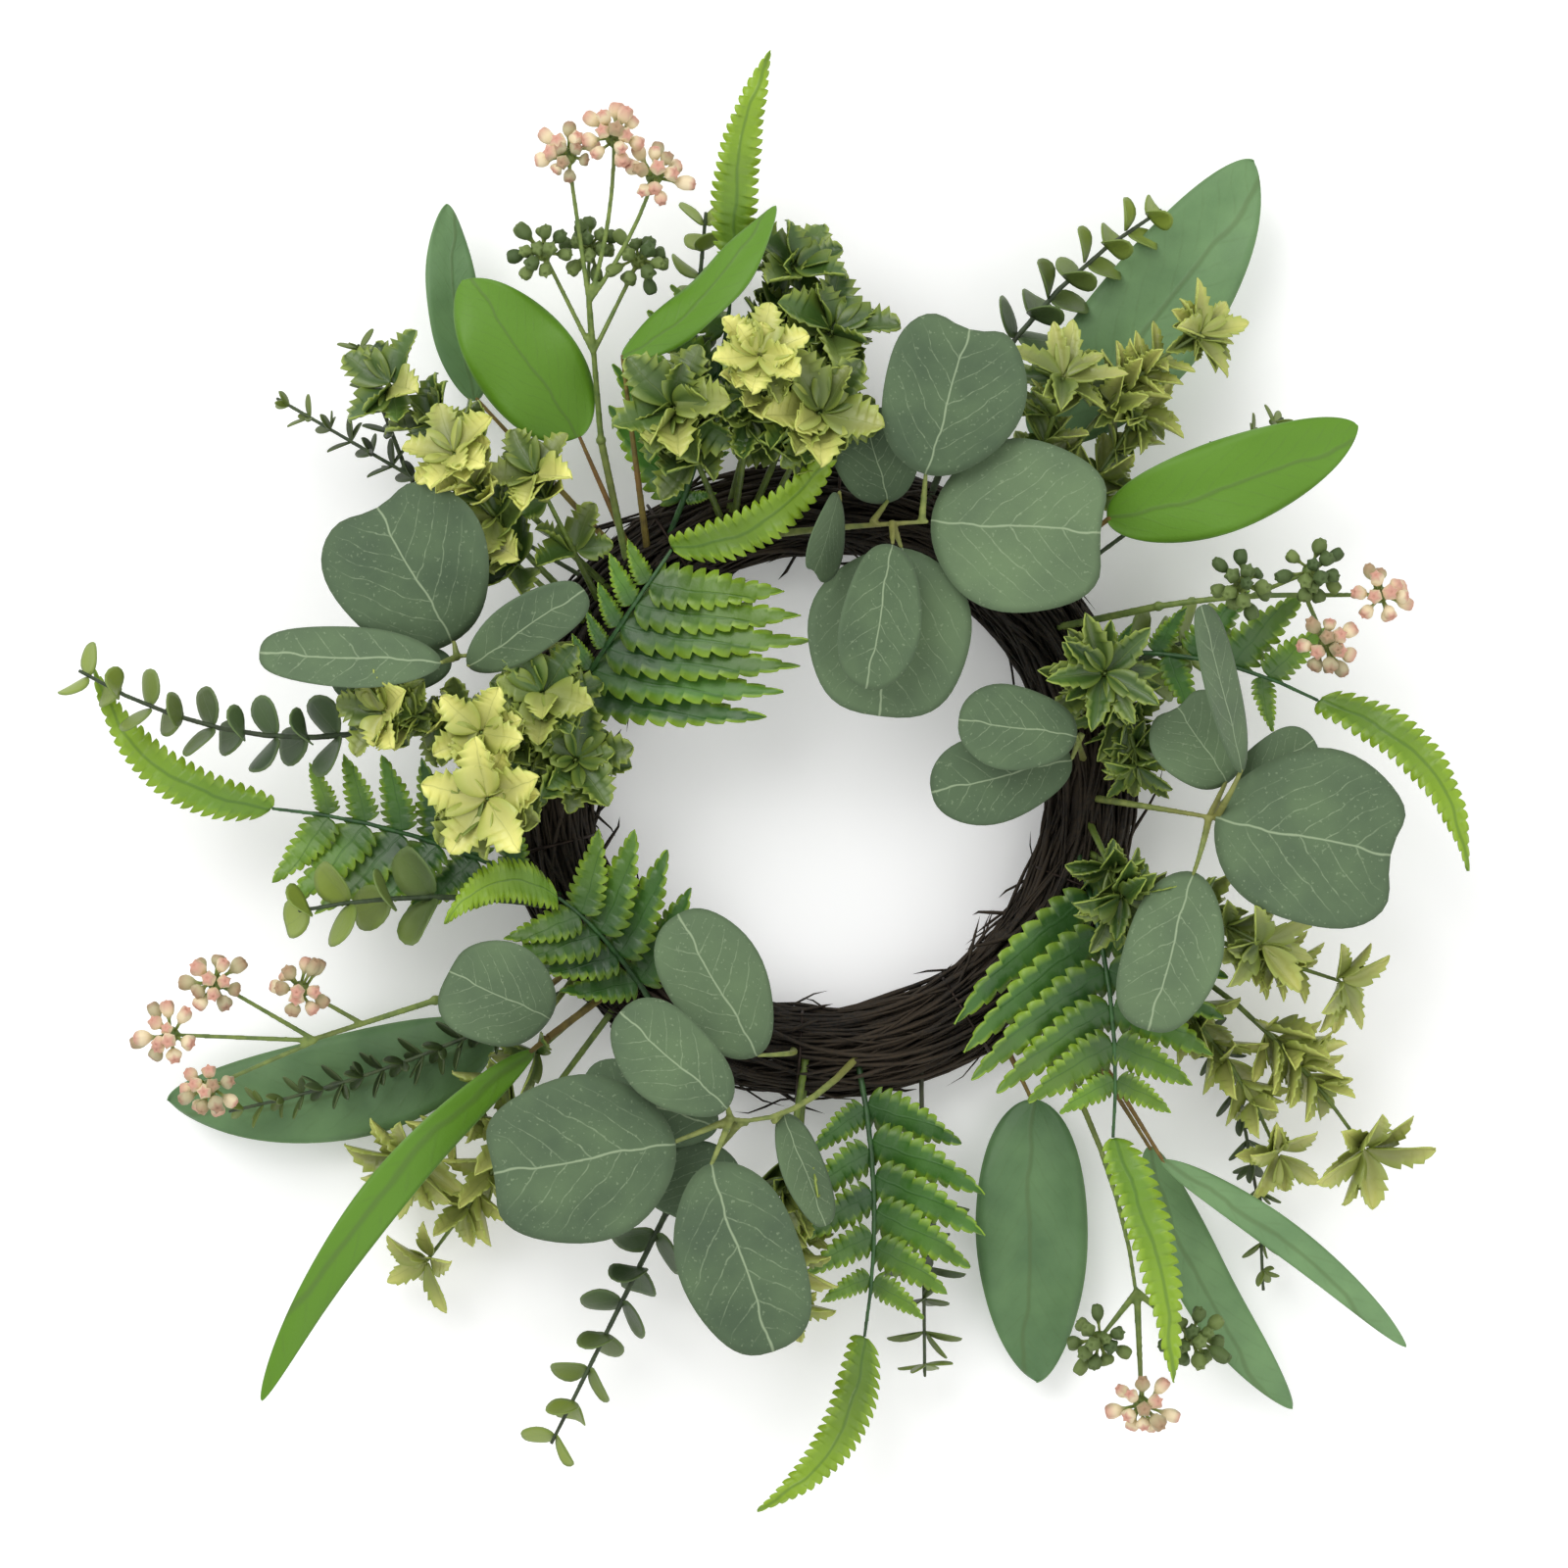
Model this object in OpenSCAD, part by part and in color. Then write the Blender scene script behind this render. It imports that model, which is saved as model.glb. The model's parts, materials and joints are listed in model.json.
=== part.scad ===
/* [Twig ring] */
// Outer diameter of the ring of twigs
ring_outer_d = 200; // [196:1:206]
// Thickness of the bundle of twigs
bundle_d = 30; // [27:0.5:32]
// Gap between neighbouring twigs in the bundle
twig_gap = 0.4; // [0.3:0.1:0.6]
// Gap between the ends of two twigs in one lane
twig_end_gap = 4; // [3:0.5:8]
// Twigs laid end to end round each lane of the bundle
twigs_per_lane = 6; // [5:1:8]
// Diameter of the wire that binds the bundle
wire_d = 1; // [0.8:0.1:1.4]
// Number of wire bindings round the ring
wire_count = 10; // [6:1:12]

/* [Stems] */
// Diameter of a stem where it leaves the ring
stem_d = 2.6; // [2.2:0.1:3]
// Diameter of a stem at its tip
stem_tip_d = 1.4; // [1.2:0.1:1.8]
// Diameter of a spray's stem just past the place where it bends
bent_stem_d = 2.2; // [2:0.1:2.4]
// Diameter of a branch in a spray of buds where it leaves the main stem
branch_d = 1.8; // [1.6:0.1:2]
// Diameter of a box sprig's stem where it leaves the ring
thin_stem_d = 1.8; // [1.6:0.1:2.2]
// Diameter of a thin stem at its tip
thin_tip_d = 1.3; // [1.1:0.1:1.5]
// Gap between a bending stem and the stub it bends from
bend_gap = 0.5; // [0.4:0.1:0.7]

/* [Leaves] */
// Thickness of a leaf blade
leaf_t = 0.5; // [0.4:0.05:0.6]
// Width of a big leaf where it meets its stem
petiole_w = 1.6; // [1.4:0.1:2]
// Width of a small leaf where it meets its stem
small_petiole_w = 0.9; // [0.8:0.05:1]
// Width of a leaf at its very tip
tip_w = 0.5; // [0.4:0.05:0.6]

/* [Ferns] */
// Width of a side leaflet
pinna_w = 10.5; // [9:0.5:11.5]
// Width of the long end leaflet
terminal_w = 13; // [11:0.5:14]
// Angle between a side leaflet and its stalk
pinna_angle = 64; // [58:1:70]

/* [Small sprigs] */
// Length of a holly leaf
holly_leaf_l = 20; // [17:0.5:21]
// Width of a holly leaf
holly_leaf_w = 12; // [10:0.5:13]
// Length of a penny leaf
penny_leaf_l = 12; // [10:0.5:13]
// Width of a penny leaf
penny_leaf_w = 10; // [8:0.5:10.5]
// Length of a box leaf
box_leaf_l = 9; // [7:0.5:10]
// Width of a box leaf
box_leaf_w = 3.4; // [2.8:0.2:3.8]

/* [Buds] */
// Diameter of a bud
bud_d = 3.6; // [3:0.1:3.8]
// Length of a bud without its stalk
bud_l = 4.6; // [4:0.1:5]
// Length of a bud's stalk
bud_stalk_l = 3.6; // [3:0.1:4.5]
// Diameter of a bud's stalk
bud_stalk_d = 1; // [0.8:0.1:1.2]

/* [Hidden] */
bundle_r = bundle_d / 2;
twig_r = (bundle_r - twig_gap) / 3;
lane_pitch = 2 * twig_r + twig_gap;
ring_r = ring_outer_d / 2 - lane_pitch * cos(30) - twig_r;
stem_sides = 6;
stem_steps = 6;
wire_sink = 0.2;

// The sprays' points below are given for a ring of this outer diameter and thickness
drawn_outer_d = 200;
drawn_bundle_d = 30;
spread = (ring_outer_d - drawn_outer_d) / 2;
lift = bundle_d - drawn_bundle_d;

// Leaf outlines from stalk to tip, each row a share of the length and of the half width
round_outline = [[0.05, 0.42], [0.2, 0.8], [0.45, 1], [0.72, 0.94], [0.92, 0.55]];
willow_outline = [[0.07, 0.36], [0.25, 0.8], [0.5, 1], [0.74, 0.84], [0.91, 0.45]];
pinna_outline = [[0.08, 0.8], [0.3, 1], [0.6, 0.7], [0.84, 0.36]];
holly_outline = [[0.2, 0.6], [0.48, 1], [0.78, 0.8]];
penny_outline = [[0.16, 0.62], [0.5, 1], [0.84, 0.66]];
box_outline = [[0.32, 0.9], [0.68, 0.9]];

up = [0, 0, 1];

function unit(v) = v / norm(v);
function mix(a, b, u) = a + (b - a) * u;

// A stem's path is [start, end, bow], where bow is how far its middle stands off the straight line
function path_at(p, u) = mix(p[0], p[1], u) + p[2] * 4 * u * (1 - u);
function path_dir(p, u) = unit(p[1] - p[0] + p[2] * 4 * (1 - 2 * u));
function side_of(dir, face) = unit(cross(face, dir));

// The way a leaf points: away from the stem by an angle, and turned about it (0 is its left, 90 its top)
function leaf_dir(dir, face, angle, turn) =
  let (side = side_of(dir, face))
  let (top = cross(dir, side))
  unit(dir * cos(angle) + (side * cos(turn) + top * sin(turn)) * sin(angle));

// Keeps a spray on the ring: its stems, leaves and buds all move with the point where it leaves the ring
module spray(root) {
  translate(unit([root[0], root[1], 0]) * spread + up * lift) children();
}

// Half of a leaf's outline, as [distance from the base, half width]
function half_outline(l, w, stalk, outline) = concat(
  [[0, stalk / 2]],
  [for (row = outline) [row[0] * l, row[1] * w / 2]],
  [[l, tip_w / 2]]
);

// A flat leaf from its base, pointing along dir with its top facing face
module flat_leaf(base, dir, face, l, w, stalk, outline) {
  side = side_of(dir, face);
  top = cross(dir, side);
  half = half_outline(l, w, stalk, outline);
  back = [for (i = [len(half) - 1:-1:0]) [half[i][0], -half[i][1]]];
  multmatrix([
    [dir[0], side[0], top[0], base[0]],
    [dir[1], side[1], top[1], base[1]],
    [dir[2], side[2], top[2], base[2]],
    [0, 0, 0, 1]
  ])
    translate([0, 0, -leaf_t / 2])
      linear_extrude(leaf_t) polygon(concat(half, back));
}

// A leaf bent along a path, with its top facing face
module bent_leaf(p, w, face, outline) {
  chord = p[1] - p[0];
  dir = unit(chord);
  side = side_of(dir, face);
  top = cross(dir, side) * leaf_t / 2;
  half = half_outline(norm(chord), w, petiole_w, outline);
  n = len(half);
  rows = [
    for (h = half)
      let (mid = path_at(p, h[0] / norm(chord)))
      [mid + side * h[1] + top, mid - side * h[1] + top, mid - side * h[1] - top, mid + side * h[1] - top]
  ];
  skin = [for (i = [0:n - 2]) for (k = [0:3])
    [4 * (i + 1) + k, 4 * (i + 1) + (k + 1) % 4, 4 * i + (k + 1) % 4, 4 * i + k]];
  polyhedron(
    points = [for (row = rows) for (q = row) q],
    faces = concat(skin, [[0, 1, 2, 3]], [[for (k = [3:-1:0]) 4 * (n - 1) + k]])
  );
}

// A tapering stem along a path
module stem(p, d0 = stem_d, d1 = stem_tip_d) {
  steep = abs(unit(p[1] - p[0])[2]) > 0.9;
  rings = [
    for (i = [0:stem_steps])
      let (u = i / stem_steps)
      let (dir = path_dir(p, u))
      let (side = side_of(dir, steep ? [0, 1, 0] : up))
      let (top = cross(dir, side))
      let (r = mix(d0, d1, u) / 2)
      [for (k = [0:stem_sides - 1])
        path_at(p, u) + side * r * cos(k * 360 / stem_sides) + top * r * sin(k * 360 / stem_sides)]
  ];
  n = stem_sides;
  skin = [for (i = [0:stem_steps - 1]) for (k = [0:n - 1])
    [n * i + k, n * (i + 1) + k, n * (i + 1) + (k + 1) % n, n * i + (k + 1) % n]];
  polyhedron(
    points = [for (ring = rings) for (q = ring) q],
    faces = concat(skin, [[for (k = [0:n - 1]) k]], [[for (k = [n - 1:-1:0]) n * stem_steps + k]])
  );
}

// A fern frond: [path of the stalk, lengths of the leaflets on its left, the same on its right,
// path of the end leaflet, its face, face of the frond]
module frond_leaves(f) {
  face = f[5];
  for (s = [1, 2])
    for (k = [0:len(f[s]) - 1]) {
      u = 0.1 + 0.76 * (k + 0.5) / len(f[s]);
      turn = s == 1 ? 0 : 180;
      dir = path_dir(f[0], u);
      out = leaf_dir(dir, face, pinna_angle, turn);
      base = path_at(f[0], u) + side_of(dir, face) * cos(turn) * 0.5;
      flat_leaf(base, out, unit(face + dir * 0.32), f[s][k],
        pinna_w * min(1, f[s][k] / 26), small_petiole_w, pinna_outline);
    }
  bent_leaf(f[3], terminal_w, f[4], pinna_outline);
}

// Pairs of leaves up a stem: [path, pairs, first place, angle, turn, size, leaves at its end]
module paired_leaves(g, l, w, outline) {
  for (k = [0:g[1] - 1]) {
    u = mix(g[2], g[6] > 0 ? 0.8 : 0.96, g[1] == 1 ? 0 : k / (g[1] - 1));
    dir = path_dir(g[0], u);
    size = g[5] * mix(1, 0.7, k / g[1]);
    for (half = [0, 180]) {
      radial = leaf_dir(dir, up, 90, g[4] + half + (k % 2) * 90);
      out = dir * cos(g[3]) + radial * sin(g[3]);
      flat_leaf(path_at(g[0], u) + radial * 0.45, out, dir * sin(g[3]) - radial * cos(g[3]) + up * 0.6,
        l * size, w * size, small_petiole_w, outline);
    }
  }
}

// A ring of leaves round the end of a stem: [point, axis, leaves, size, first turn]
module rosette(r, l, w, outline) {
  axis = r[1];
  face = abs(axis[0]) > 0.9 ? [0, 1, 0] : [1, 0, 0];
  for (k = [0:1:r[2] - 1]) {
    level = k == r[2] - 1 && r[2] % 2 == 1 ? 2 : k % 2;
    radial = leaf_dir(axis, face, 90, r[4] + k * 360 / r[2]);
    out = axis * cos(68) + radial * sin(68);
    flat_leaf(r[0] + radial * 0.75 - axis * level * 1.3, out, axis * sin(68) - radial * cos(68),
      l * r[3], w * r[3], small_petiole_w, outline);
  }
}

// Holly sprays: pairs of leaves up each stem and a rosette at its end
module holly_leaves(rows) {
  for (g = rows) {
    paired_leaves(g, holly_leaf_l, holly_leaf_w, holly_outline);
    rosette([g[0][1], unit(path_dir(g[0], 1) + up), g[6], g[7], g[4] + 30],
      holly_leaf_l, holly_leaf_w, holly_outline);
  }
}

// A bud on its own stalk, standing on a point and pointing along dir
module bud(point, dir) {
  side = side_of(dir, abs(dir[2]) > 0.9 ? [0, 1, 0] : [0, 0, 1]);
  top = cross(dir, side);
  multmatrix([
    [side[0], top[0], dir[0], point[0]],
    [side[1], top[1], dir[1], point[1]],
    [side[2], top[2], dir[2], point[2]],
    [0, 0, 0, 1]
  ])
    rotate_extrude($fn = 24)
      polygon([
        [0, 0],
        [bud_stalk_d / 2, 0],
        [bud_stalk_d / 2, bud_stalk_l],
        [bud_d / 2, bud_stalk_l + bud_l * 0.35],
        [bud_d / 2, bud_stalk_l + bud_l * 0.7],
        [bud_d / 5, bud_stalk_l + bud_l],
        [0, bud_stalk_l + bud_l]
      ]);
}

bud_root_r = 2.4;
bud_knot_r = bud_root_r + 0.3;

// A head of buds: [point, axis, buds in the inner ring, buds in the outer ring]
module bud_head(b) {
  axis = unit(b[1]);
  face = abs(axis[0]) > 0.9 ? [0, 1, 0] : [1, 0, 0];
  bud(b[0] + axis * bud_root_r, axis);
  for (ring = [[b[2], 36, 0], [b[3], 74, 20]])
    for (k = [0:ring[0] - 1]) {
      out = leaf_dir(axis, face, ring[1], ring[2] + k * 360 / ring[0]);
      bud(b[0] + out * bud_root_r, out);
    }
}

// The main stem of a bending spray of buds and the branches on it
module bud_branches(paths) {
  stem(paths[0], bent_stem_d, branch_d);
  for (k = [1:len(paths) - 1])
    stem(paths[k], branch_d, stem_tip_d);
}

// The round knots that the buds of each head grow from
module bud_knots(heads) {
  for (b = heads)
    translate(b[0]) sphere(r = bud_knot_r, $fn = 24);
}

module bud_heads(heads) {
  for (b = heads)
    bud_head(b);
}

// Big leaves, each row [base, tip, bow, width, face]
module big_leaves(rows, outline) {
  for (row = rows)
    bent_leaf([row[0], row[1], row[2]], row[3], unit(row[4]), outline);
}

module stems(paths) {
  for (p = paths)
    stem(p);
}

// The stems of sprigs whose rows start with the stem's path
module sprig_stems(rows, d0 = stem_d, d1 = stem_tip_d) {
  for (g = rows)
    stem(g[0], d0, d1);
}

module penny_leaves(rows) {
  for (g = rows)
    paired_leaves(g, penny_leaf_l, penny_leaf_w, penny_outline);
}

module box_leaves(rows) {
  for (g = rows)
    paired_leaves(g, box_leaf_l, box_leaf_w, box_outline);
}

// The end of a stem that stays in the ring, short of the point where its spray bends
module stub(p) {
  stem([p[0], p[1] - unit(p[1] - p[0]) * bend_gap, p[2]], stem_d, stem_d);
}

// Silver dollar sprays: stems, then leaves
silver_top_stems = [
  [[-14, 76, 24], [33, 78, 61], [0, 0, 8]],
  [[31, 78, 60], [32, 93, 70], [0, 0, 0]],
  [[22, 78, 59], [22, 71, 67], [0, 0, 0]],
  [[22, 78, 59], [25, 70, 56], [0, 0, 0]],
  [[6, 77, 48], [6, 87, 64], [0, 0, 0]],
  [[16, 78, 56], [21, 85, 52], [0, 0, 0]],
];
silver_top = [
  [[32, 92, 70], [46, 139, 76], [0, 0, 5], 43, [0.1, -0.1, 1]],
  [[34, 78, 61.5], [88, 74, 68], [0, 0, 5], 53, [0.1, 0, 1]],
  [[22, 71, 68], [14, 27, 76], [0, 0, 4], 26, [0.4, 0, 1]],
  [[25, 70, 56], [18, 19, 58], [0, 0, 3], 50, [0, 0, 1]],
  [[6, 86, 64], [-2, 60, 70], [0, 0, 2], 26, [1, 0, 0.35]],
  [[21, 84, 52], [13, 113, 58], [0, 0, 3], 27, [-0.2, 0, 1]],
];
silver_left_stems = [
  [[-74, 42, 26], [-111, 37, 60], [0, 0, 8]],
  [[-110, 37, 60], [-111, 42, 59.5], [0, 0, 0]],
  [[-110, 37, 60], [-114, 35, 72.5], [0, 0, 0]],
  [[-106, 38, 60], [-106, 34, 68], [0, 0, 0]],
  [[-110, 37, 60], [-112, 36, 54], [0, 0, 0]],
];
silver_left = [
  [[-111, 41, 59.5], [-136, 86, 66], [0, 0, 5], 49, [-0.1, 0, 1]],
  [[-114, 35, 72], [-169, 38, 68], [0, 0, 3], 20, [0, 0.4, 1]],
  [[-106, 34, 67], [-71, 57, 72], [0, 0, 3], 20, [0.2, -0.5, 1]],
  [[-112, 36, 54.5], [-149, 30, 50], [0, 0, 3], 18, [0, -0.2, 1]],
];
silver_bottom_stems = [
  [[12, -86, 26], [-28, -103, 62], [0, -6, 8]],
  [[-27, -103, 62], [-45, -110, 66], [0, 0, 2]],
  [[-27, -103, 62], [-33, -117, 68], [0, 0, 2]],
  [[-27, -103, 60.5], [-28, -98, 70], [0, 0, 0]],
  [[-8, -84, 26], [-19, -84, 54], [4, 0, 6]],
  [[-14, -104, 56], [-11, -102, 50], [0, 0, 0]],
  [[-22, -104, 60], [-31, -106, 55], [0, 0, 0]],
  [[-24, -104, 60], [-30, -112, 52], [0, 0, 0]],
  [[-73, -58, 20], [-83, -73, 51], [-3, -3, 0]],
];
silver_bottom = [
  [[-44, -110, 66], [-101, -119, 72], [0, 0, 5], 51, [-0.1, 0, 1]],
  [[-33, -116, 68], [-14, -172, 74], [0, 0, 5], 38, [0, -0.1, 1]],
  [[-28, -99, 70], [-60, -70, 76], [0, 0, 4], 27, [0.1, 0.1, 1]],
  [[-19, -84, 54], [-43, -41, 60], [0, 0, 4], 30, [0.1, 0, 1]],
  [[-11, -102, 50], [2, -136, 54], [0, 0, 2], 18, [1, 0, 1]],
  [[-31, -106, 55], [-72, -92, 52], [0, 0, 3], 24, [0, 0.2, 1]],
  [[-30, -112, 52], [-44, -136, 50], [0, 0, 2], 30, [0, 0, 1]],
  [[-82, -73, 51], [-113, -58, 58], [0, 0, 4], 33, [0, -0.2, 1]],
];
silver_right_stems = [
  [[86, -6, 26], [121, -12, 62], [0, 0, 8]],
  [[118, -12, 60], [113, -29, 63], [0, 0, 4]],
  [[120, -12, 61], [127, 3, 71], [0, 0, 4]],
  [[118, -12, 60], [124, 0, 55], [0, 0, 0]],
  [[118, -12, 60], [128, -2, 50], [0, 0, 0]],
  [[82, 6, 26], [78, 13, 59], [0, 0, 0]],
  [[80, 14, 52], [77, 6, 49], [0, 0, 0]],
];
silver_right = [
  [[120, -12, 63], [177, -24, 70], [0, 0, 5], 54, [0, 0.1, 1]],
  [[113, -28, 63], [99, -76, 67], [0, 0, 4], 30, [-0.2, 0, 1]],
  [[127, 2, 71], [114, 52, 78], [0, 0, 4], 24, [1, 0.2, 0.6]],
  [[124, -1, 55], [107, 24, 58], [0, 0, 3], 28, [0, 0, 1]],
  [[128, -2, 50], [151, 12, 50], [0, 0, 2], 18, [0, 0.2, 1]],
  [[78, 13, 59], [42, 18, 63], [0, 0, 3], 26, [0, 0.2, 1]],
  [[77, 6, 49], [34, -4, 54], [0, 0, 3], 27, [0, -0.1, 1]],
];

// Willow leaves: stems, then leaves
willow_top_right_stems = [
  [[56, 74, 20], [68, 107, 20], [0, 0, 0]],
];
willow_top_left_stems = [
  [[-62, 70, 16], [-107, 119, 16], [0, 0, 0]],
  [[-57, 67, 26], [-74, 106, 40], [0, 0, 0]],
  [[-53, 70, 26], [-60, 129, 57], [0, 0, 4]],
];
willow_bottom_left_stems = [
  [[-74, -56, 14], [-102, -80, 12], [0, 0, 0]],
];
willow_bottom_right_stems = [
  [[54, -74, 14], [67, -101, 12], [0, 0, 0]],
  [[70, -62, 16], [104, -116, 12], [0, 0, 0]],
  [[68, -55, 26], [107, -119, 30], [0, 0, 0]],
];
willow_top_right = [
  [[67, 106, 20], [139, 189, 20], [3, -3, 4], 38, [0, 0, 1]],
];
willow_top_left = [
  [[-107, 118, 16], [-113, 179, 20], [-3, 0, 3], 17, [0.3, 0, 1]],
  [[-74, 105, 40], [-107, 154, 46], [0, 0, 4], 32, [0, 0, 1]],
  [[-60, 128, 57], [-15, 175, 64], [4, -4, 4], 17, [-0.4, 0.5, 1]],
];
willow_bottom_left = [
  [[-101, -80, 12], [-202, -105, 12], [-2, -6, 4], 33, [0, 0, 1]],
];
willow_bottom_right = [
  [[67, -100, 12], [64, -188, 12], [0, 0, 4], 35, [0, 0, 1]],
  [[103, -115, 12], [144, -198, 16], [-4, -2, 3], 18, [0.2, 0, 1]],
  [[106, -118, 30], [178, -178, 36], [3, 4, 4], 11, [0, 0.2, 1]],
];

// The broad leaf on the right and the long one at the lower left bend on their own stems
willow_right_stem = [[80, 73, 39], [89, 80, 48], [0, 0, 0]];
willow_right_stub = [[64, 60, 26], willow_right_stem[0], [0, 0, 0]];
willow_right = [[[88, 79.5, 47.5], [165, 104, 54], [1, -2, 4], 28, [0, -0.1, 1]]];
willow_lower_left_stem = [[-84, -80, 36], [-89, -84, 38.5], [0, 0, 0]];
willow_lower_left_stub = [[-61, -63, 26], willow_lower_left_stem[0], [0, 0, 0]];
willow_lower_left = [[[-88, -83.5, 38], [-175, -186, 48], [-6, 4, 9], 14, [0.3, -0.1, 1]]];

// Ferns: [stalk, left leaflets, right leaflets, end leaflet, its face, face]
fern_top = [[[-47, 74, 26], [-26, 157, 46], [3, -3, 4]], [30, 32, 28, 24, 18], [8, 8, 9, 13, 13],
  [[-26, 157.5, 46], [-15, 222, 52], [-4, 0, 3]], [0.2, 0, 1], up];
fern_inner_left = [[[-80, 19, 26], [-45, 70, 52], [0, 0, 9]],
  [14, 10, 10, 12, 14, 12], [50, 50, 50, 48, 42, 34],
  [[-45, 70.5, 52], [8, 108, 59.5], [6, -8, 3]], [0, -0.2, 1], up];
fern_left = [[[-80, -36, 26], [-168, -9, 42], [0, 5, 8]], [16, 22, 26, 30, 28, 22], [18, 22, 22, 20, 18, 14],
  [[-168, -9, 42], [-222, 34, 46], [-8, -8, 3]], [0, 0, 1], up];
fern_bottom_left = [[[-50, -72, 26], [-80, -36, 48], [0, 4, 6]], [20, 22, 24, 20], [28, 30, 28, 22],
  [[-80, -36, 48], [-114, -44, 56], [-4, 8, 4]], [0, 0, 1], up];
fern_right = [[[80, -22, 26], [90, -110, 44], [4, 0, 10]], [34, 34, 32, 28, 22, 16], [48, 46, 44, 36, 26, 16],
  [[90, -110, 44], [108, -184, 50], [4, 0, 3]], [0.2, 0, 1], up];
fern_bottom = [[[12, -87, 24], [14, -172, 34], [4, 0, 4]], [26, 32, 32, 28, 22, 16], [18, 22, 22, 20, 14],
  [[14, -172, 34], [-19, -225, 38], [8, -4, 3]], [0, 0, 1], up];
fern_top_right = [[[79, 38, 26], [153, 24, 44], [0, 6, 7]], [8, 14, 22, 26, 20], [14, 18, 16, 14],
  [[153, 24, 44], [198, -28, 50], [8, 8, 3]], [0.1, 0.1, 1], up];

// Holly sprays, each row [path, pairs, first place, angle, turn, size, end leaves, size of the end leaves]
holly_top_left = [
  [[[-71, 51, 26], [-110, 98, 73], [-4, 0, 6]], 3, 0.6, 60, 20, 0.7, 5, 0.7],
  [[[-68, 55, 26], [-86, 92, 65], [0, 0, 6]], 2, 0.4, 60, 30, 0.7, 5, 0.7],
  [[[-65, 59, 26], [-130, 120, 56], [0, 0, 4]], 3, 0.6, 50, 20, 0.9, 4, 0.8],
  [[[-73, 49, 26], [-100, 72, 56], [0, 0, 4]], 1, 0.7, 60, 20, 0.8, 5, 0.8],
];
holly_top = [
  [[[-26, 82, 26], [-18, 126, 89], [0, 0, 6]], 3, 0.6, 60, 20, 0.7, 6, 0.7],
  [[[-20, 84, 26], [4, 136, 61], [0, 0, 6]], 4, 0.4, 50, 60, 0.8, 4, 0.9],
  [[[-28, 83, 26], [-8, 156, 54], [0, 0, 6]], 4, 0.5, 50, 30, 0.9, 4, 0.8],
  [[[-30, 80, 26], [-44, 112, 72], [0, 0, 4]], 2, 0.6, 60, 50, 0.8, 5, 0.9],
  [[[-16, 82, 26], [0, 110, 77], [0, 0, 4]], 2, 0.6, 60, 40, 0.8, 5, 0.9],
];
holly_left = [
  [[[-82, 8, 26], [-132, 20, 69], [0, 2, 8]], 3, 0.5, 60, 10, 0.7, 5, 0.7],
  [[[-82, 0, 26], [-100, -6, 75], [0, 0, 4]], 1, 0.4, 60, 10, 0.6, 5, 0.9],
  [[[-84, 12, 26], [-102, 14, 73], [0, 0, 4]], 1, 0.5, 60, 50, 0.6, 5, 0.7],
  [[[-81, 17, 26], [-84, 26, 62], [0, 0, 4]], 1, 0.7, 60, 40, 0.8, 5, 0.8],
  [[[-82, 2, 26], [-74, 6, 56], [0, 0, 4]], 1, 0.7, 60, 0, 0.8, 5, 0.8],
];
holly_top_right = [
  [[[59, 65, 26], [116, 136, 49], [-4, 8, 6]], 6, 0.6, 50, 80, 0.7, 4, 0.7],
  [[[64, 60, 26], [98, 112, 38], [0, 0, 4]], 3, 0.5, 50, 20, 0.8, 4, 0.7],
  [[[59, 65, 26], [74, 122, 58], [0, 0, 4]], 3, 0.5, 55, 50, 0.8, 4, 0.8],
];
holly_right = [
  [[[81, 33, 26], [97, 4, 46], [4, 0, 8]], 3, 0.4, 55, 20, 0.7, 4, 0.6],
  [[[84, -14, 26], [92, -36, 56], [0, 0, 6]], 2, 0.6, 60, 80, 0.8, 5, 0.8],
  [[[82, 26, 26], [86, 32, 68], [0, 0, 0]], 2, 0.5, 60, 30, 0.9, 5, 0.8],
];
holly_bottom_right = [
  [[[80, -36, 22], [160, -62, 42], [0, 0, 6]], 6, 0.6, 50, 80, 0.7, 4, 0.7],
  [[[83, -42, 18], [168, -114, 34], [4, 8, 6]], 7, 0.6, 50, 60, 0.8, 4, 0.9],
  [[[82, -45, 20], [142, -116, 30], [6, 4, 6]], 6, 0.4, 50, 20, 0.8, 4, 0.7],
  [[[84, -23, 26], [134, -50, 58], [0, 0, 4]], 3, 0.5, 50, 0, 0.8, 4, 0.8],
];
holly_bottom_left = [
  [[[-59, -65, 22], [-122, -150, 18], [0, 0, 4]], 6, 0.5, 50, 10, 0.9, 4, 0.7],
  [[[-62, -62, 22], [-126, -118, 22], [0, 0, 4]], 4, 0.4, 50, 60, 0.8, 4, 0.9],
];
holly_bottom = [
  [[[-4, -88, 18], [-10, -162, 20], [0, 0, 4]], 6, 0.6, 50, 80, 0.7, 4, 0.7],
  [[[-4, -86, 26], [-14, -146, 42], [0, 0, 4]], 4, 0.5, 50, 50, 0.9, 4, 0.9],
];

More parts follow.
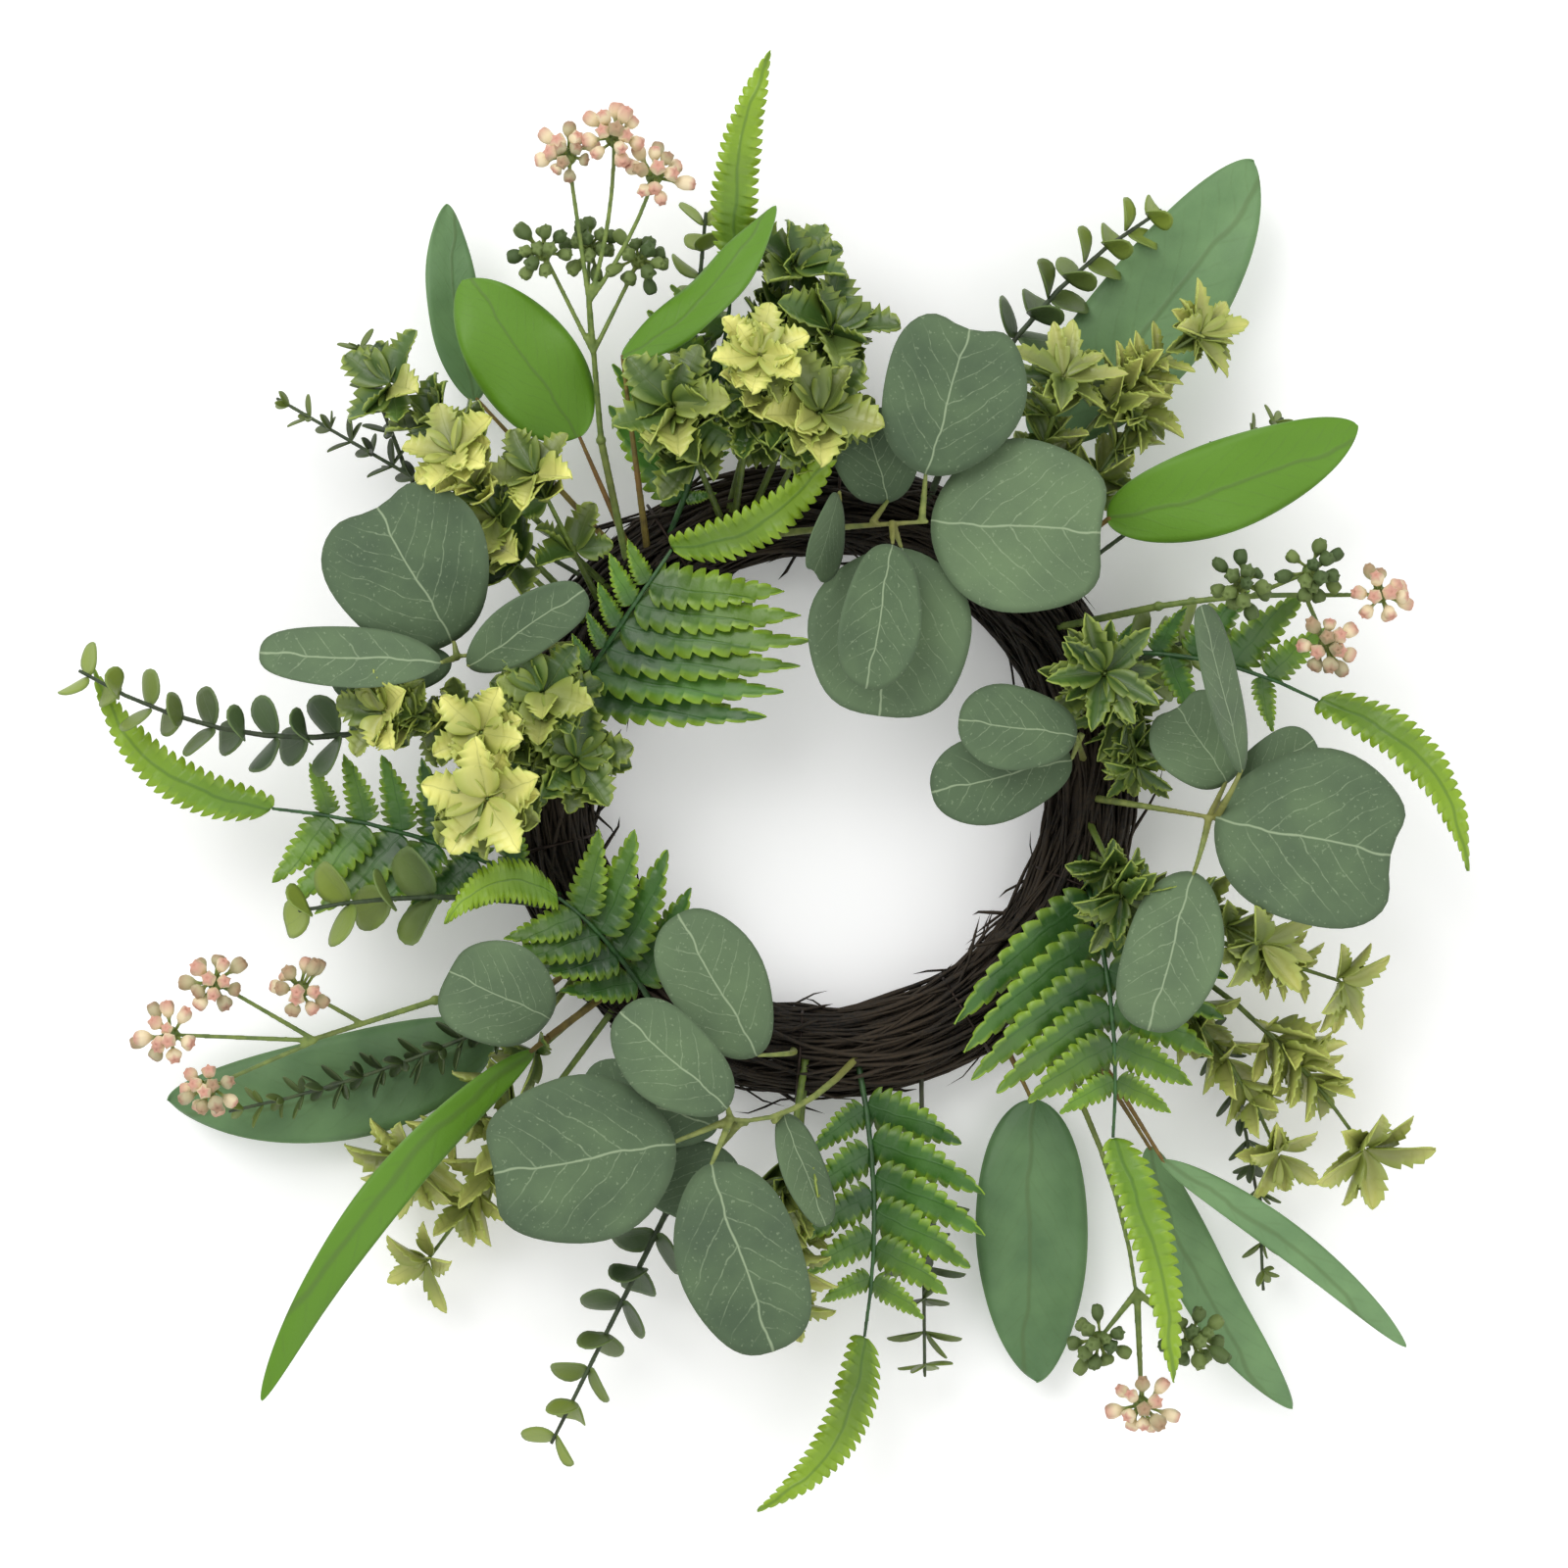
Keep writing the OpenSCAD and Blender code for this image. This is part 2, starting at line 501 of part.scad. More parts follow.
// Penny and box sprigs: rows of paired leaves
penny_left_stub = [[-84, 10, 26], [-140, 14, 46], [0, 2, 0]];
penny_left = [[[penny_left_stub[1], [-225, 33, 58], [0, -8, 3]], 9, 0.08, 60, 20, 1, 0]];
penny_lower_left = [[[[-78, -40, 26], [-158, -40, 62], [0, 4, 6]], 4, 0.5, 60, 20, 1.2, 0]];
penny_top_right = [[[[32, 81, 24], [106, 176, 30], [-8, 8, 2]], 8, 0.5, 60, 20, 0.95, 0]];
penny_bottom_stub = [[-26, -86, 17], [-47, -134, 20], [0, 0, 0]];
penny_bottom = [[[penny_bottom_stub[1], [-83, -206, 26], [0, 0, 1]], 7, 0.1, 60, 20, 1, 0]];
penny_top = [[[[-44, 78, 20], [-35, 176, 24], [0, 0, 0]], 9, 0.3, 60, 20, 0.95, 0]];
penny_right = [[[[87, 32, 18], [122, 46, 20], [0, 0, 0]], 4, 0.3, 60, 20, 1.2, 0]];
box_top_left = [
  [[[-70, 61, 20], [-168, 118, 28], [0, 0, 2]], 8, 0.5, 55, 20, 1, 0],
  [[[-128, 96, 26], [-142, 134, 36], [0, 0, 0]], 5, 0.3, 55, 20, 1, 0],
];
box_top_right = [[[[72, 59, 20], [144, 112, 26], [0, 0, 2]], 6, 0.5, 55, 20, 1.1, 0]];
box_right = [
  [[[85, -37, 12], [139, -160, 12], [14, 10, 0]], 14, 0.25, 55, 20, 1.1, 0],
];
box_bottom_left = [[[[-70, -61, 20], [-183, -103, 26], [0, -5, 0]], 14, 0.25, 55, 20, 1.1, 0]];
box_bottom = [[[[32, -87, 14], [33, -186, 20], [0, 0, 0]], 6, 0.45, 80, 20, 1.6, 0]];

// Heads of buds: stems, then heads
bud_top_stub = [[-59, 65, 26], [-67, 104, 40], [0, 0, 0]];
bud_top_stems = [
  [bud_top_stub[1], [-70, 146, 57], [0, 0, 0]],
  [[-70, 145, 57], [-76, 188, 66], [0, 0, 0]],
  [[-70, 145, 57], [-62, 193, 70], [2, 0, 0]],
  [[-70, 145, 57], [-50, 182, 66], [2, 0, 0]],
  [[-69, 130, 51], [-84, 160, 56], [0, 0, 0]],
  [[-69, 130, 51], [-70, 162, 50], [-1, 0, 0]],
  [[-69, 130, 51], [-55, 158, 52], [0, 0, 0]],
];
bud_top = [
  [[-76, 188, 66], [-0.2, 0.3, 1], 5, 7],
  [[-62, 193, 70], [0, 0.3, 1], 5, 7],
  [[-50, 182, 66], [0.3, 0.3, 1], 5, 7],
  [[-84, 160, 56], [-0.3, 0.2, 1], 5, 7],
  [[-70, 162, 50], [0, 0.2, 1], 5, 7],
  [[-55, 158, 52], [0.3, 0.2, 1], 5, 7],
];
bud_right_stub = [[74, 47, 26], [104, 53, 42], [0, 0, 0]];
bud_right_stems = [
  [bud_right_stub[1], [150, 56, 54], [0, 1, 2]],
  [[148, 56, 52], [154, 41, 57], [0, 0, 0]],
  [[148, 56, 52], [170, 56, 58], [0, 0, 0]],
  [[122, 56, 47.5], [128, 59, 60], [0, 0, 0]],
  [[132, 56, 49.5], [149, 63, 59], [0, 0, 0]],
];
bud_right = [
  [[154, 41, 57], [0.1, -0.2, 1], 5, 7],
  [[170, 56, 58], [0.4, 0, 1], 5, 7],
  [[128, 59, 60], [0, -0.1, 1], 5, 7],
  [[149, 63, 59], [0.2, -0.2, 1], 5, 7],
];
bud_left_stub = [[-70, -52, 24], [-118, -68, 38], [0, 0, 0]];
bud_left_stems = [
  [bud_left_stub[1], [-156, -80, 46], [0, 0, 0]],
  [[-154, -80, 46], [-184, -62, 52], [0, 0, 0]],
  [[-154, -80, 46], [-198, -78, 50], [0, 0, 0]],
  [[-154, -80, 46], [-186, -94, 50], [0, 0, 0]],
  [[-140, -75, 43], [-158, -64, 52], [0, 0, 0]],
];
bud_left = [
  [[-184, -62, 52], [-0.2, 0.2, 1], 5, 7],
  [[-198, -78, 50], [-0.4, 0, 1], 5, 7],
  [[-186, -94, 50], [-0.2, -0.3, 1], 5, 7],
  [[-158, -64, 52], [0, 0.2, 1], 5, 7],
];
bud_bottom_stems = [
  [[64, -68, 20], [98, -160, 34], [6, 0, 2]],
  [[98, -158, 34], [99, -192, 40], [0, 0, 0]],
  [[98, -158, 34], [86, -172, 40], [0, 0, 0]],
  [[98, -158, 34], [115, -172, 34], [0, 0, 0]],
];
bud_bottom = [
  [[99, -192, 40], [0, -0.3, 1], 5, 7],
  [[86, -172, 40], [-0.2, -0.2, 1], 5, 7],
  [[115, -172, 34], [0.2, -0.2, 1], 5, 7],
];

// Twigs laid round the ring in one centre lane and six outer ones
module lane_twigs(r, z, first) {
  step = 360 / twigs_per_lane;
  gap = twig_end_gap / ring_r * 180 / PI;
  for (k = [0:twigs_per_lane - 1])
    rotate([0, 0, first + k * step])
      rotate_extrude(angle = step - gap, $fn = 96)
        translate([r, z]) circle(r = twig_r, $fn = 24);
}

module twig_bundle() {
  color("SaddleBrown") {
    lane_twigs(ring_r, bundle_r, 0);
    for (k = [0:5])
      lane_twigs(ring_r + lane_pitch * cos(30 + 60 * k), bundle_r + lane_pitch * sin(30 + 60 * k),
        9 + 22 * k);
  }
}

module binding_wire() {
  color("DimGray")
    for (k = [0:wire_count - 1])
      rotate([90, 0, 14 + k * 360 / wire_count])
        translate([ring_r, bundle_r, 0])
          rotate_extrude($fn = 48)
            translate([bundle_r - wire_sink - wire_d / 2, 0]) circle(d = wire_d, $fn = 16);
}

module silver_dollar_stems() {
  color("Olive") {
    for (paths = [silver_top_stems, silver_left_stems, silver_bottom_stems, silver_right_stems])
      spray(paths[0][0]) stems(paths);
  }
}

module silver_dollar_leaves_top() {
  color("DarkSeaGreen") {
    spray(silver_top_stems[0][0]) big_leaves(silver_top, round_outline);
  }
}

module silver_dollar_leaves_left() {
  color("DarkSeaGreen") {
    spray(silver_left_stems[0][0]) big_leaves(silver_left, round_outline);
  }
}

module silver_dollar_leaves_bottom() {
  color("DarkSeaGreen") {
    spray(silver_bottom_stems[0][0]) big_leaves(silver_bottom, round_outline);
  }
}

module silver_dollar_leaves_right() {
  color("DarkSeaGreen") {
    spray(silver_right_stems[0][0]) big_leaves(silver_right, round_outline);
  }
}

module willow_stems() {
  color("Olive") {
    for (paths = [willow_top_right_stems, willow_top_left_stems,
        willow_bottom_left_stems, willow_bottom_right_stems])
      spray(paths[0][0]) stems(paths);
    for (p = [willow_right_stub, willow_lower_left_stub])
      spray(p[0]) stub(p);
  }
}

module willow_leaves_top_right() {
  color("MediumSeaGreen") {
    spray(willow_top_right_stems[0][0]) big_leaves(willow_top_right, willow_outline);
  }
}

module willow_leaves_top_left() {
  color("MediumSeaGreen") {
    spray(willow_top_left_stems[0][0]) big_leaves(willow_top_left, willow_outline);
  }
}

module willow_leaves_bottom_left() {
  color("MediumSeaGreen") {
    spray(willow_bottom_left_stems[0][0]) big_leaves(willow_bottom_left, willow_outline);
  }
}

module willow_leaves_bottom_right() {
  color("MediumSeaGreen") {
    spray(willow_bottom_right_stems[0][0]) big_leaves(willow_bottom_right, willow_outline);
  }
}

module willow_stem_right() {
  color("Olive") {
    spray(willow_right_stub[0]) stem(willow_right_stem, bent_stem_d, branch_d);
  }
}

module willow_leaf_right() {
  color("MediumSeaGreen") {
    spray(willow_right_stub[0]) big_leaves(willow_right, willow_outline);
  }
}

module willow_stem_lower_left() {
  color("Olive") {
    spray(willow_lower_left_stub[0]) stem(willow_lower_left_stem, bent_stem_d, branch_d);
  }
}

module willow_leaf_lower_left() {
  color("MediumSeaGreen") {
    spray(willow_lower_left_stub[0]) big_leaves(willow_lower_left, willow_outline);
  }
}

module fern_stalks() {
  color("DarkGreen") {
    for (f = [fern_top, fern_inner_left, fern_left, fern_bottom_left,
        fern_right, fern_bottom, fern_top_right])
      spray(f[0][0]) stem(f[0], bent_stem_d, thin_tip_d);
  }
}

module fern_leaflets_top() {
  color("LimeGreen") {
    spray(fern_top[0][0]) frond_leaves(fern_top);
  }
}

module fern_leaflets_inner_left() {
  color("LimeGreen") {
    spray(fern_inner_left[0][0]) frond_leaves(fern_inner_left);
  }
}

module fern_leaflets_left() {
  color("LimeGreen") {
    spray(fern_left[0][0]) frond_leaves(fern_left);
  }
}

module fern_leaflets_bottom_left() {
  color("LimeGreen") {
    spray(fern_bottom_left[0][0]) frond_leaves(fern_bottom_left);
  }
}

module fern_leaflets_right() {
  color("LimeGreen") {
    spray(fern_right[0][0]) frond_leaves(fern_right);
  }
}

module fern_leaflets_bottom() {
  color("LimeGreen") {
    spray(fern_bottom[0][0]) frond_leaves(fern_bottom);
  }
}

module fern_leaflets_top_right() {
  color("LimeGreen") {
    spray(fern_top_right[0][0]) frond_leaves(fern_top_right);
  }
}

module holly_stems() {
  color("OliveDrab") {
    for (rows = [holly_top_left, holly_top, holly_left, holly_top_right, holly_right,
        holly_bottom_right, holly_bottom_left, holly_bottom])
      spray(rows[0][0][0]) sprig_stems(rows);
  }
}

module holly_leaves_top_left() {
  color("YellowGreen") {
    spray(holly_top_left[0][0][0]) holly_leaves(holly_top_left);
  }
}

module holly_leaves_top() {
  color("YellowGreen") {
    spray(holly_top[0][0][0]) holly_leaves(holly_top);
  }
}

module holly_leaves_left() {
  color("YellowGreen") {
    spray(holly_left[0][0][0]) holly_leaves(holly_left);
  }
}

module holly_leaves_top_right() {
  color("YellowGreen") {
    spray(holly_top_right[0][0][0]) holly_leaves(holly_top_right);
  }
}

module holly_leaves_right() {
  color("YellowGreen") {
    spray(holly_right[0][0][0]) holly_leaves(holly_right);
  }
}

module holly_leaves_bottom_right() {
  color("YellowGreen") {
    spray(holly_bottom_right[0][0][0]) holly_leaves(holly_bottom_right);
  }
}

module holly_leaves_bottom_left() {
  color("YellowGreen") {
    spray(holly_bottom_left[0][0][0]) holly_leaves(holly_bottom_left);
  }
}

module holly_leaves_bottom() {
  color("YellowGreen") {
    spray(holly_bottom[0][0][0]) holly_leaves(holly_bottom);
  }
}

module penny_stems() {
  color("DarkSlateGray") {
    for (rows = [penny_lower_left, penny_top_right, penny_top, penny_right])
      spray(rows[0][0][0]) sprig_stems(rows);
    for (p = [penny_left_stub, penny_bottom_stub])
      spray(p[0]) stub(p);
  }
}

module penny_stem_left() {
  color("DarkSlateGray") {
    spray(penny_left_stub[0]) sprig_stems(penny_left, bent_stem_d);
  }
}

module penny_stem_bottom() {
  color("DarkSlateGray") {
    spray(penny_bottom_stub[0]) sprig_stems(penny_bottom, bent_stem_d);
  }
}

module penny_leaves_left() {
  color("SeaGreen") {
    spray(penny_left_stub[0]) penny_leaves(penny_left);
  }
}

module penny_leaves_lower_left() {
  color("SeaGreen") {
    spray(penny_lower_left[0][0][0]) penny_leaves(penny_lower_left);
  }
}

module penny_leaves_top_right() {
  color("SeaGreen") {
    spray(penny_top_right[0][0][0]) penny_leaves(penny_top_right);
  }
}

module penny_leaves_bottom() {
  color("SeaGreen") {
    spray(penny_bottom_stub[0]) penny_leaves(penny_bottom);
  }
}

module penny_leaves_top() {
  color("SeaGreen") {
    spray(penny_top[0][0][0]) penny_leaves(penny_top);
  }
}

module penny_leaves_right() {
  color("SeaGreen") {
    spray(penny_right[0][0][0]) penny_leaves(penny_right);
  }
}

module box_stems() {
  color("SaddleBrown") {
    for (rows = [box_top_left, box_top_right, box_right, box_bottom_left, box_bottom])
      spray(rows[0][0][0]) sprig_stems(rows, thin_stem_d, thin_tip_d);
  }
}

module box_leaves_top_left() {
  color("DarkOliveGreen") {
    spray(box_top_left[0][0][0]) box_leaves(box_top_left);
  }
}

module box_leaves_top_right() {
  color("DarkOliveGreen") {
    spray(box_top_right[0][0][0]) box_leaves(box_top_right);
  }
}

module box_leaves_right() {
  color("DarkOliveGreen") {
    spray(box_right[0][0][0]) box_leaves(box_right);
  }
}

module box_leaves_bottom_left() {
  color("DarkOliveGreen") {
    spray(box_bottom_left[0][0][0]) box_leaves(box_bottom_left);
  }
}

module box_leaves_bottom() {
  color("DarkOliveGreen") {
    spray(box_bottom[0][0][0]) box_leaves(box_bottom);
  }
}

module bud_stems() {
  color("OliveDrab") {
    for (p = [bud_top_stub, bud_right_stub, bud_left_stub])
      spray(p[0]) stub(p);
    spray(bud_bottom_stems[0][0]) {
      stems(bud_bottom_stems);
      bud_knots(bud_bottom);
    }
  }
}

module bud_stem_top() {
  color("OliveDrab") {
    spray(bud_top_stub[0]) {
      bud_branches(bud_top_stems);
      bud_knots(bud_top);
    }
  }
}

module bud_stem_right() {
  color("OliveDrab") {
    spray(bud_right_stub[0]) {
      bud_branches(bud_right_stems);
      bud_knots(bud_right);
    }
  }
}

module bud_stem_left() {
  color("OliveDrab") {
    spray(bud_left_stub[0]) {
      bud_branches(bud_left_stems);
      bud_knots(bud_left);
    }
  }
}

module buds_top() {
  color("PeachPuff") {
    spray(bud_top_stub[0]) bud_heads(bud_top);
  }
}

module buds_right() {
  color("PeachPuff") {
    spray(bud_right_stub[0]) bud_heads(bud_right);
  }
}

module buds_left() {
  color("PeachPuff") {
    spray(bud_left_stub[0]) bud_heads(bud_left);
  }
}

module buds_bottom() {
  color("PeachPuff") {
    spray(bud_bottom_stems[0][0]) bud_heads(bud_bottom);
  }
}

twig_bundle();
binding_wire();
silver_dollar_stems();
silver_dollar_leaves_top();
silver_dollar_leaves_left();
silver_dollar_leaves_bottom();
silver_dollar_leaves_right();
willow_stems();
willow_leaves_top_right();
willow_leaves_top_left();
willow_leaves_bottom_left();
willow_leaves_bottom_right();
willow_stem_right();
willow_leaf_right();
willow_stem_lower_left();
willow_leaf_lower_left();
fern_stalks();
fern_leaflets_top();
fern_leaflets_inner_left();
fern_leaflets_left();
fern_leaflets_bottom_left();
fern_leaflets_right();
fern_leaflets_bottom();
fern_leaflets_top_right();
holly_stems();
holly_leaves_top_left();
holly_leaves_top();
holly_leaves_left();
holly_leaves_top_right();
holly_leaves_right();
holly_leaves_bottom_right();
holly_leaves_bottom_left();
holly_leaves_bottom();
penny_stems();
penny_stem_left();
penny_stem_bottom();
penny_leaves_left();
penny_leaves_lower_left();
penny_leaves_top_right();
penny_leaves_bottom();
penny_leaves_top();
penny_leaves_right();
box_stems();
box_leaves_top_left();
box_leaves_top_right();
box_leaves_right();
box_leaves_bottom_left();
box_leaves_bottom();
bud_stems();
bud_stem_top();
bud_stem_right();
bud_stem_left();
buds_top();
buds_right();
buds_left();
buds_bottom();
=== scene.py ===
"""A ring of twigs dressed with artificial greenery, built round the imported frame.

Every leaf, bud and stem takes its place from its own solid in the frame, and thin twigs
fill the space that the plain twig solids hold. All lengths are metres.
"""
import json
import logging
import math
from dataclasses import dataclass, field
from enum import Enum

import bmesh
import bpy
import numpy as np
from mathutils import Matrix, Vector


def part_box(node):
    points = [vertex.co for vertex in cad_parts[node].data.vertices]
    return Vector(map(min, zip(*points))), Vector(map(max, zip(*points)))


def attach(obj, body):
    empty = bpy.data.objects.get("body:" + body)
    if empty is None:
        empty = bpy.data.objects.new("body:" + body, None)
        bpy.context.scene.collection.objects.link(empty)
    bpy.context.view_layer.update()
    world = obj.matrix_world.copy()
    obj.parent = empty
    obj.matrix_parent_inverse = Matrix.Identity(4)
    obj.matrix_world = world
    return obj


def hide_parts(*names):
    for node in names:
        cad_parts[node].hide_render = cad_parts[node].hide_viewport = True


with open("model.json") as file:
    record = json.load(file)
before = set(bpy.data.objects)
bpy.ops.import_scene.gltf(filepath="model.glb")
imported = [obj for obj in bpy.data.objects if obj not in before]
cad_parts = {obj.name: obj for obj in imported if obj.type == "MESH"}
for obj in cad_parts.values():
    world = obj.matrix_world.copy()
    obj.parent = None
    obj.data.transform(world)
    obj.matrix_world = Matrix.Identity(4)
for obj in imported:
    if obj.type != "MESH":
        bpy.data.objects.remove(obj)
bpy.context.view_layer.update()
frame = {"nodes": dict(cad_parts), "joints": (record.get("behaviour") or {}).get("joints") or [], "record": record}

LOG = logging.getLogger("greenery_ring")
MM = 0.001
TURN = 2 * math.pi
Array = np.ndarray


# ---------------------------------------------------------------- finishes

def linear(colour: str) -> tuple[float, float, float, float]:
    """Turns an sRGB hex colour into a linear one.

    Args:
        colour: The colour as "#rrggbb".
    Returns:
        Red, green, blue and an alpha of one.
    """
    parts = [int(colour[i:i + 2], 16) / 255 for i in (1, 3, 5)]
    red, green, blue = [c / 12.92 if c <= 0.04045 else ((c + 0.055) / 1.055) ** 2.4 for c in parts]
    return red, green, blue, 1.0


def add(tree: bpy.types.NodeTree, kind: str, inputs: dict, out: int | str = 0,
        **settings) -> bpy.types.NodeSocket | None:
    """Adds a node to a tree.

    Args:
        tree: The tree that gets the node.
        kind: The node's type name without its "ShaderNode".
        inputs: Values or sockets by the input's name or place; a socket is linked.
        out: The name or place of the output that is wanted.
        settings: The node's own properties, set before its inputs.
    Returns:
        The wanted output's socket, or None for a node without outputs.
    """
    node = tree.nodes.new(f"ShaderNode{kind}")
    for name, value in settings.items():
        setattr(node, name, value)
    for key, value in inputs.items():
        if isinstance(value, bpy.types.NodeSocket):
            tree.links.new(value, node.inputs[key])
        else:
            node.inputs[key].default_value = value
    return node.outputs[out] if node.outputs else None


def new_material(name: str) -> tuple[bpy.types.Material, bpy.types.NodeTree]:
    """Makes an empty material.

    Args:
        name: The material's name.
    Returns:
        The material and its cleared node tree.
    """
    material = bpy.data.materials.new(name)
    material.use_nodes = True
    material.node_tree.nodes.clear()
    return material, material.node_tree


class Print(Enum):
    """How a leaf's veins were made."""

    FINE = "fine pale lines printed on cloth"
    SOFT = "one soft rib and faint side lines"
    RIB = "a moulded rib down the middle"


@dataclass(frozen=True)
class LeafFinish:
    """A leaf blade's colours and surface.

    The blade is mottled between shade and light, turns to edge at its rim, to crown
    where the leaf is young and to heart colour (the shade colour where it has none) by its
    root value, which is a darker leaf base on some kinds and painted shade on the lower
    silver-dollar leaves, and veins lie over it all.
    """

    name: str
    shade: str
    light: str
    edge: str
    crown: str
    vein: str
    print: Print
    heart: str = ""
    vein_share: float = 0.6
    edge_start: float = 0.75
    edge_share: float = 0.5
    side_veins: float = 6
    slope: float = 1.1
    roughness: float = 0.5
    sheen: float = 0.0
    flecks: float = 0.0
    grain: float = 1.2 * MM
    fleck_size: float = 1.1 * MM

    def veins(self, tree: bpy.types.NodeTree, rim: bpy.types.NodeSocket) -> bpy.types.NodeSocket:
        """Draws the veins.

        A side vein runs where the distance along the leaf, less a growing share of the
        distance from its middle, is a whole number of vein steps.

        Args:
            tree: The material's tree.
            rim: Nearness to the leaf's edge, 0 to 1.
        Returns:
            The socket that is 1 on a vein and 0 off it.
        """
        printed = self.print is Print.FINE
        flat = add(tree, "UVMap", {}, uv_map="leaf")
        drift = add(tree, "TexNoise", {"Vector": flat, "Scale": 5.0, "Detail": 2.0}, "Color")
        shift = add(tree, "VectorMath", {0: drift, 1: (0.5, 0.5, 0.5)}, operation="SUBTRACT")
        bent = add(tree, "VectorMath", {0: shift, 1: (0.09, 0.06, 0), 2: flat}, operation="MULTIPLY_ADD")
        along = add(tree, "SeparateXYZ", {0: bent}, "X")
        over = add(tree, "SeparateXYZ", {0: bent}, "Y")
        off = add(tree, "Math", {0: over, 1: 0.5}, operation="SUBTRACT")
        across = add(tree, "Math", {0: off}, operation="ABSOLUTE")
        rib_width = 0.008 if printed else 0.011
        rib = add(tree, "MapRange", {0: across, 1: rib_width * 0.3, 2: rib_width, 3: 1.0, 4: 0.0})
        if self.print is Print.RIB:
            return rib
        arc = add(tree, "Math", {0: across, 1: -0.9, 2: -self.slope}, operation="MULTIPLY_ADD")
        lean = add(tree, "Math", {0: across, 1: arc, 2: along}, operation="MULTIPLY_ADD")
        steps = add(tree, "Math", {0: lean, 1: self.side_veins}, operation="MULTIPLY")
        near = add(tree, "Math", {0: steps, 1: 0.5}, operation="PINGPONG")
        thin = 0.045 if printed else 0.12
        line = add(tree, "MapRange", {0: near, 1: thin * 0.25, 2: thin, 3: 1.0, 4: 0.0})
        fade = add(tree, "MapRange", {0: rim, 1: 0.6, 2: 0.95, 3: 1.0, 4: 0.0})
        worn = add(tree, "TexNoise", {"Vector": flat, "Scale": 24.0, "Detail": 3.0})
        broken = add(tree, "MapRange", {0: worn, 1: 0.4, 2: 0.55, 3: 0.25, 4: 1.0})
        side = line
        for share in (fade, broken, 0.55 if printed else 0.3):
            side = add(tree, "Math", {0: side, 1: share}, operation="MULTIPLY")
        return add(tree, "Math", {0: rib, 1: side}, operation="MAXIMUM")

    def material(self) -> bpy.types.Material:
        """Builds the leaf's material. Returns it."""
        material, tree = new_material(self.name)
        place = add(tree, "TexCoord", {}, "Object")
        rim, tone, young, root = [add(tree, "Attribute", {}, "Fac", attribute_name=name)
                                  for name in ("rim", "tone", "young", "root")]
        cloud = add(tree, "TexNoise", {"Vector": place, "Scale": 55.0, "Detail": 4.0})
        spread = add(tree, "MapRange", {0: cloud, 1: 0.3, 2: 0.7, 3: -0.3, 4: 0.3})
        mottle = add(tree, "Math", {0: tone, 1: spread}, operation="ADD", use_clamp=True)
        outer = add(tree, "MapRange", {0: rim, 1: self.edge_start, 2: 1.0, 3: 0.0, 4: self.edge_share})
        veins = self.veins(tree, rim)
        drawn = add(tree, "Math", {0: veins, 1: self.vein_share}, operation="MULTIPLY")
        # The root layer is a darker leaf base on fern and holly, and painted shade on the lower silver-dollar
        # leaves
        layers = [(mottle, self.light), (young, self.crown), (outer, self.edge),
                  (root, self.heart or self.shade), (drawn, self.vein)]
        if self.flecks:
            speck = add(tree, "TexNoise", {"Vector": place, "Scale": 1 / self.fleck_size, "Detail": 1.0})
            dots = add(tree, "MapRange", {0: speck, 1: 0.66, 2: 0.74, 3: 0.0, 4: self.flecks})
            layers.append((dots, self.vein))
        colour = linear(self.shade)
        for share, layer in layers:
            colour = add(tree, "Mix", {0: share, 6: colour, 7: linear(layer)}, 2, data_type="RGBA")
        grain = add(tree, "TexNoise", {"Vector": place, "Scale": 1 / self.grain, "Detail": 2.0})
        relief = add(tree, "Math", {0: veins, 1: 1.2, 2: grain}, operation="MULTIPLY_ADD")
        bump = add(tree, "Bump", {"Height": relief, "Strength": 0.35, "Distance": 0.25 * MM})
        rough = add(tree, "MapRange", {0: cloud, 1: 0.3, 2: 0.7, 3: self.roughness - 0.07,
                                       4: self.roughness + 0.07})
        shader = add(tree, "BsdfPrincipled", {"Base Color": colour, "Roughness": rough, "Normal": bump,
                                              "Sheen Weight": self.sheen})
        add(tree, "OutputMaterial", {0: shader})
        return material


@dataclass(frozen=True)
class BarkFinish:
    """A stem's, twig's or wire's colours, streaked by two noises, and its surface."""

    name: str
    shade: str
    light: str
    patch: str
    patch_share: float = 0.4
    roughness: float = 0.6
    metallic: float = 0.0
    streak: float = 3 * MM
    relief: float = 0.2 * MM

    def material(self) -> bpy.types.Material:
        """Builds the material. Returns it."""
        material, tree = new_material(self.name)
        place = add(tree, "TexCoord", {}, "Object")
        streak = add(tree, "TexNoise", {"Vector": place, "Scale": 1 / self.streak, "Detail": 5.0})
        mixed = add(tree, "MapRange", {0: streak, 1: 0.35, 2: 0.65})
        broad = add(tree, "TexNoise", {"Vector": place, "Scale": 28.0, "Detail": 2.0})
        patch = add(tree, "MapRange", {0: broad, 1: 0.48, 2: 0.62, 3: 0.0, 4: self.patch_share})
        colour = linear(self.shade)
        for share, layer in ((mixed, self.light), (patch, self.patch)):
            colour = add(tree, "Mix", {0: share, 6: colour, 7: linear(layer)}, 2, data_type="RGBA")
        bump = add(tree, "Bump", {"Height": streak, "Strength": 0.5, "Distance": self.relief})
        rough = add(tree, "MapRange", {0: streak, 3: self.roughness - 0.1, 4: self.roughness + 0.1})
        shader = add(tree, "BsdfPrincipled", {"Base Color": colour, "Roughness": rough,
                                              "Metallic": self.metallic, "Normal": bump})
        add(tree, "OutputMaterial", {0: shader})
        return material


# Printed polyester cloth with a light flock: matt and greyish, its pale veins are ink
SILVER_CLOTH = LeafFinish("silver_dollar_printed_cloth", "#42573c", "#667d58", "#566a4c", "#70875f",
                          "#a9bb96", Print.FINE, vein_share=0.6, edge_start=0.93, edge_share=0.6,
                          side_veins=7, slope=0.8, roughness=0.75, sheen=0.05, flecks=0.22)
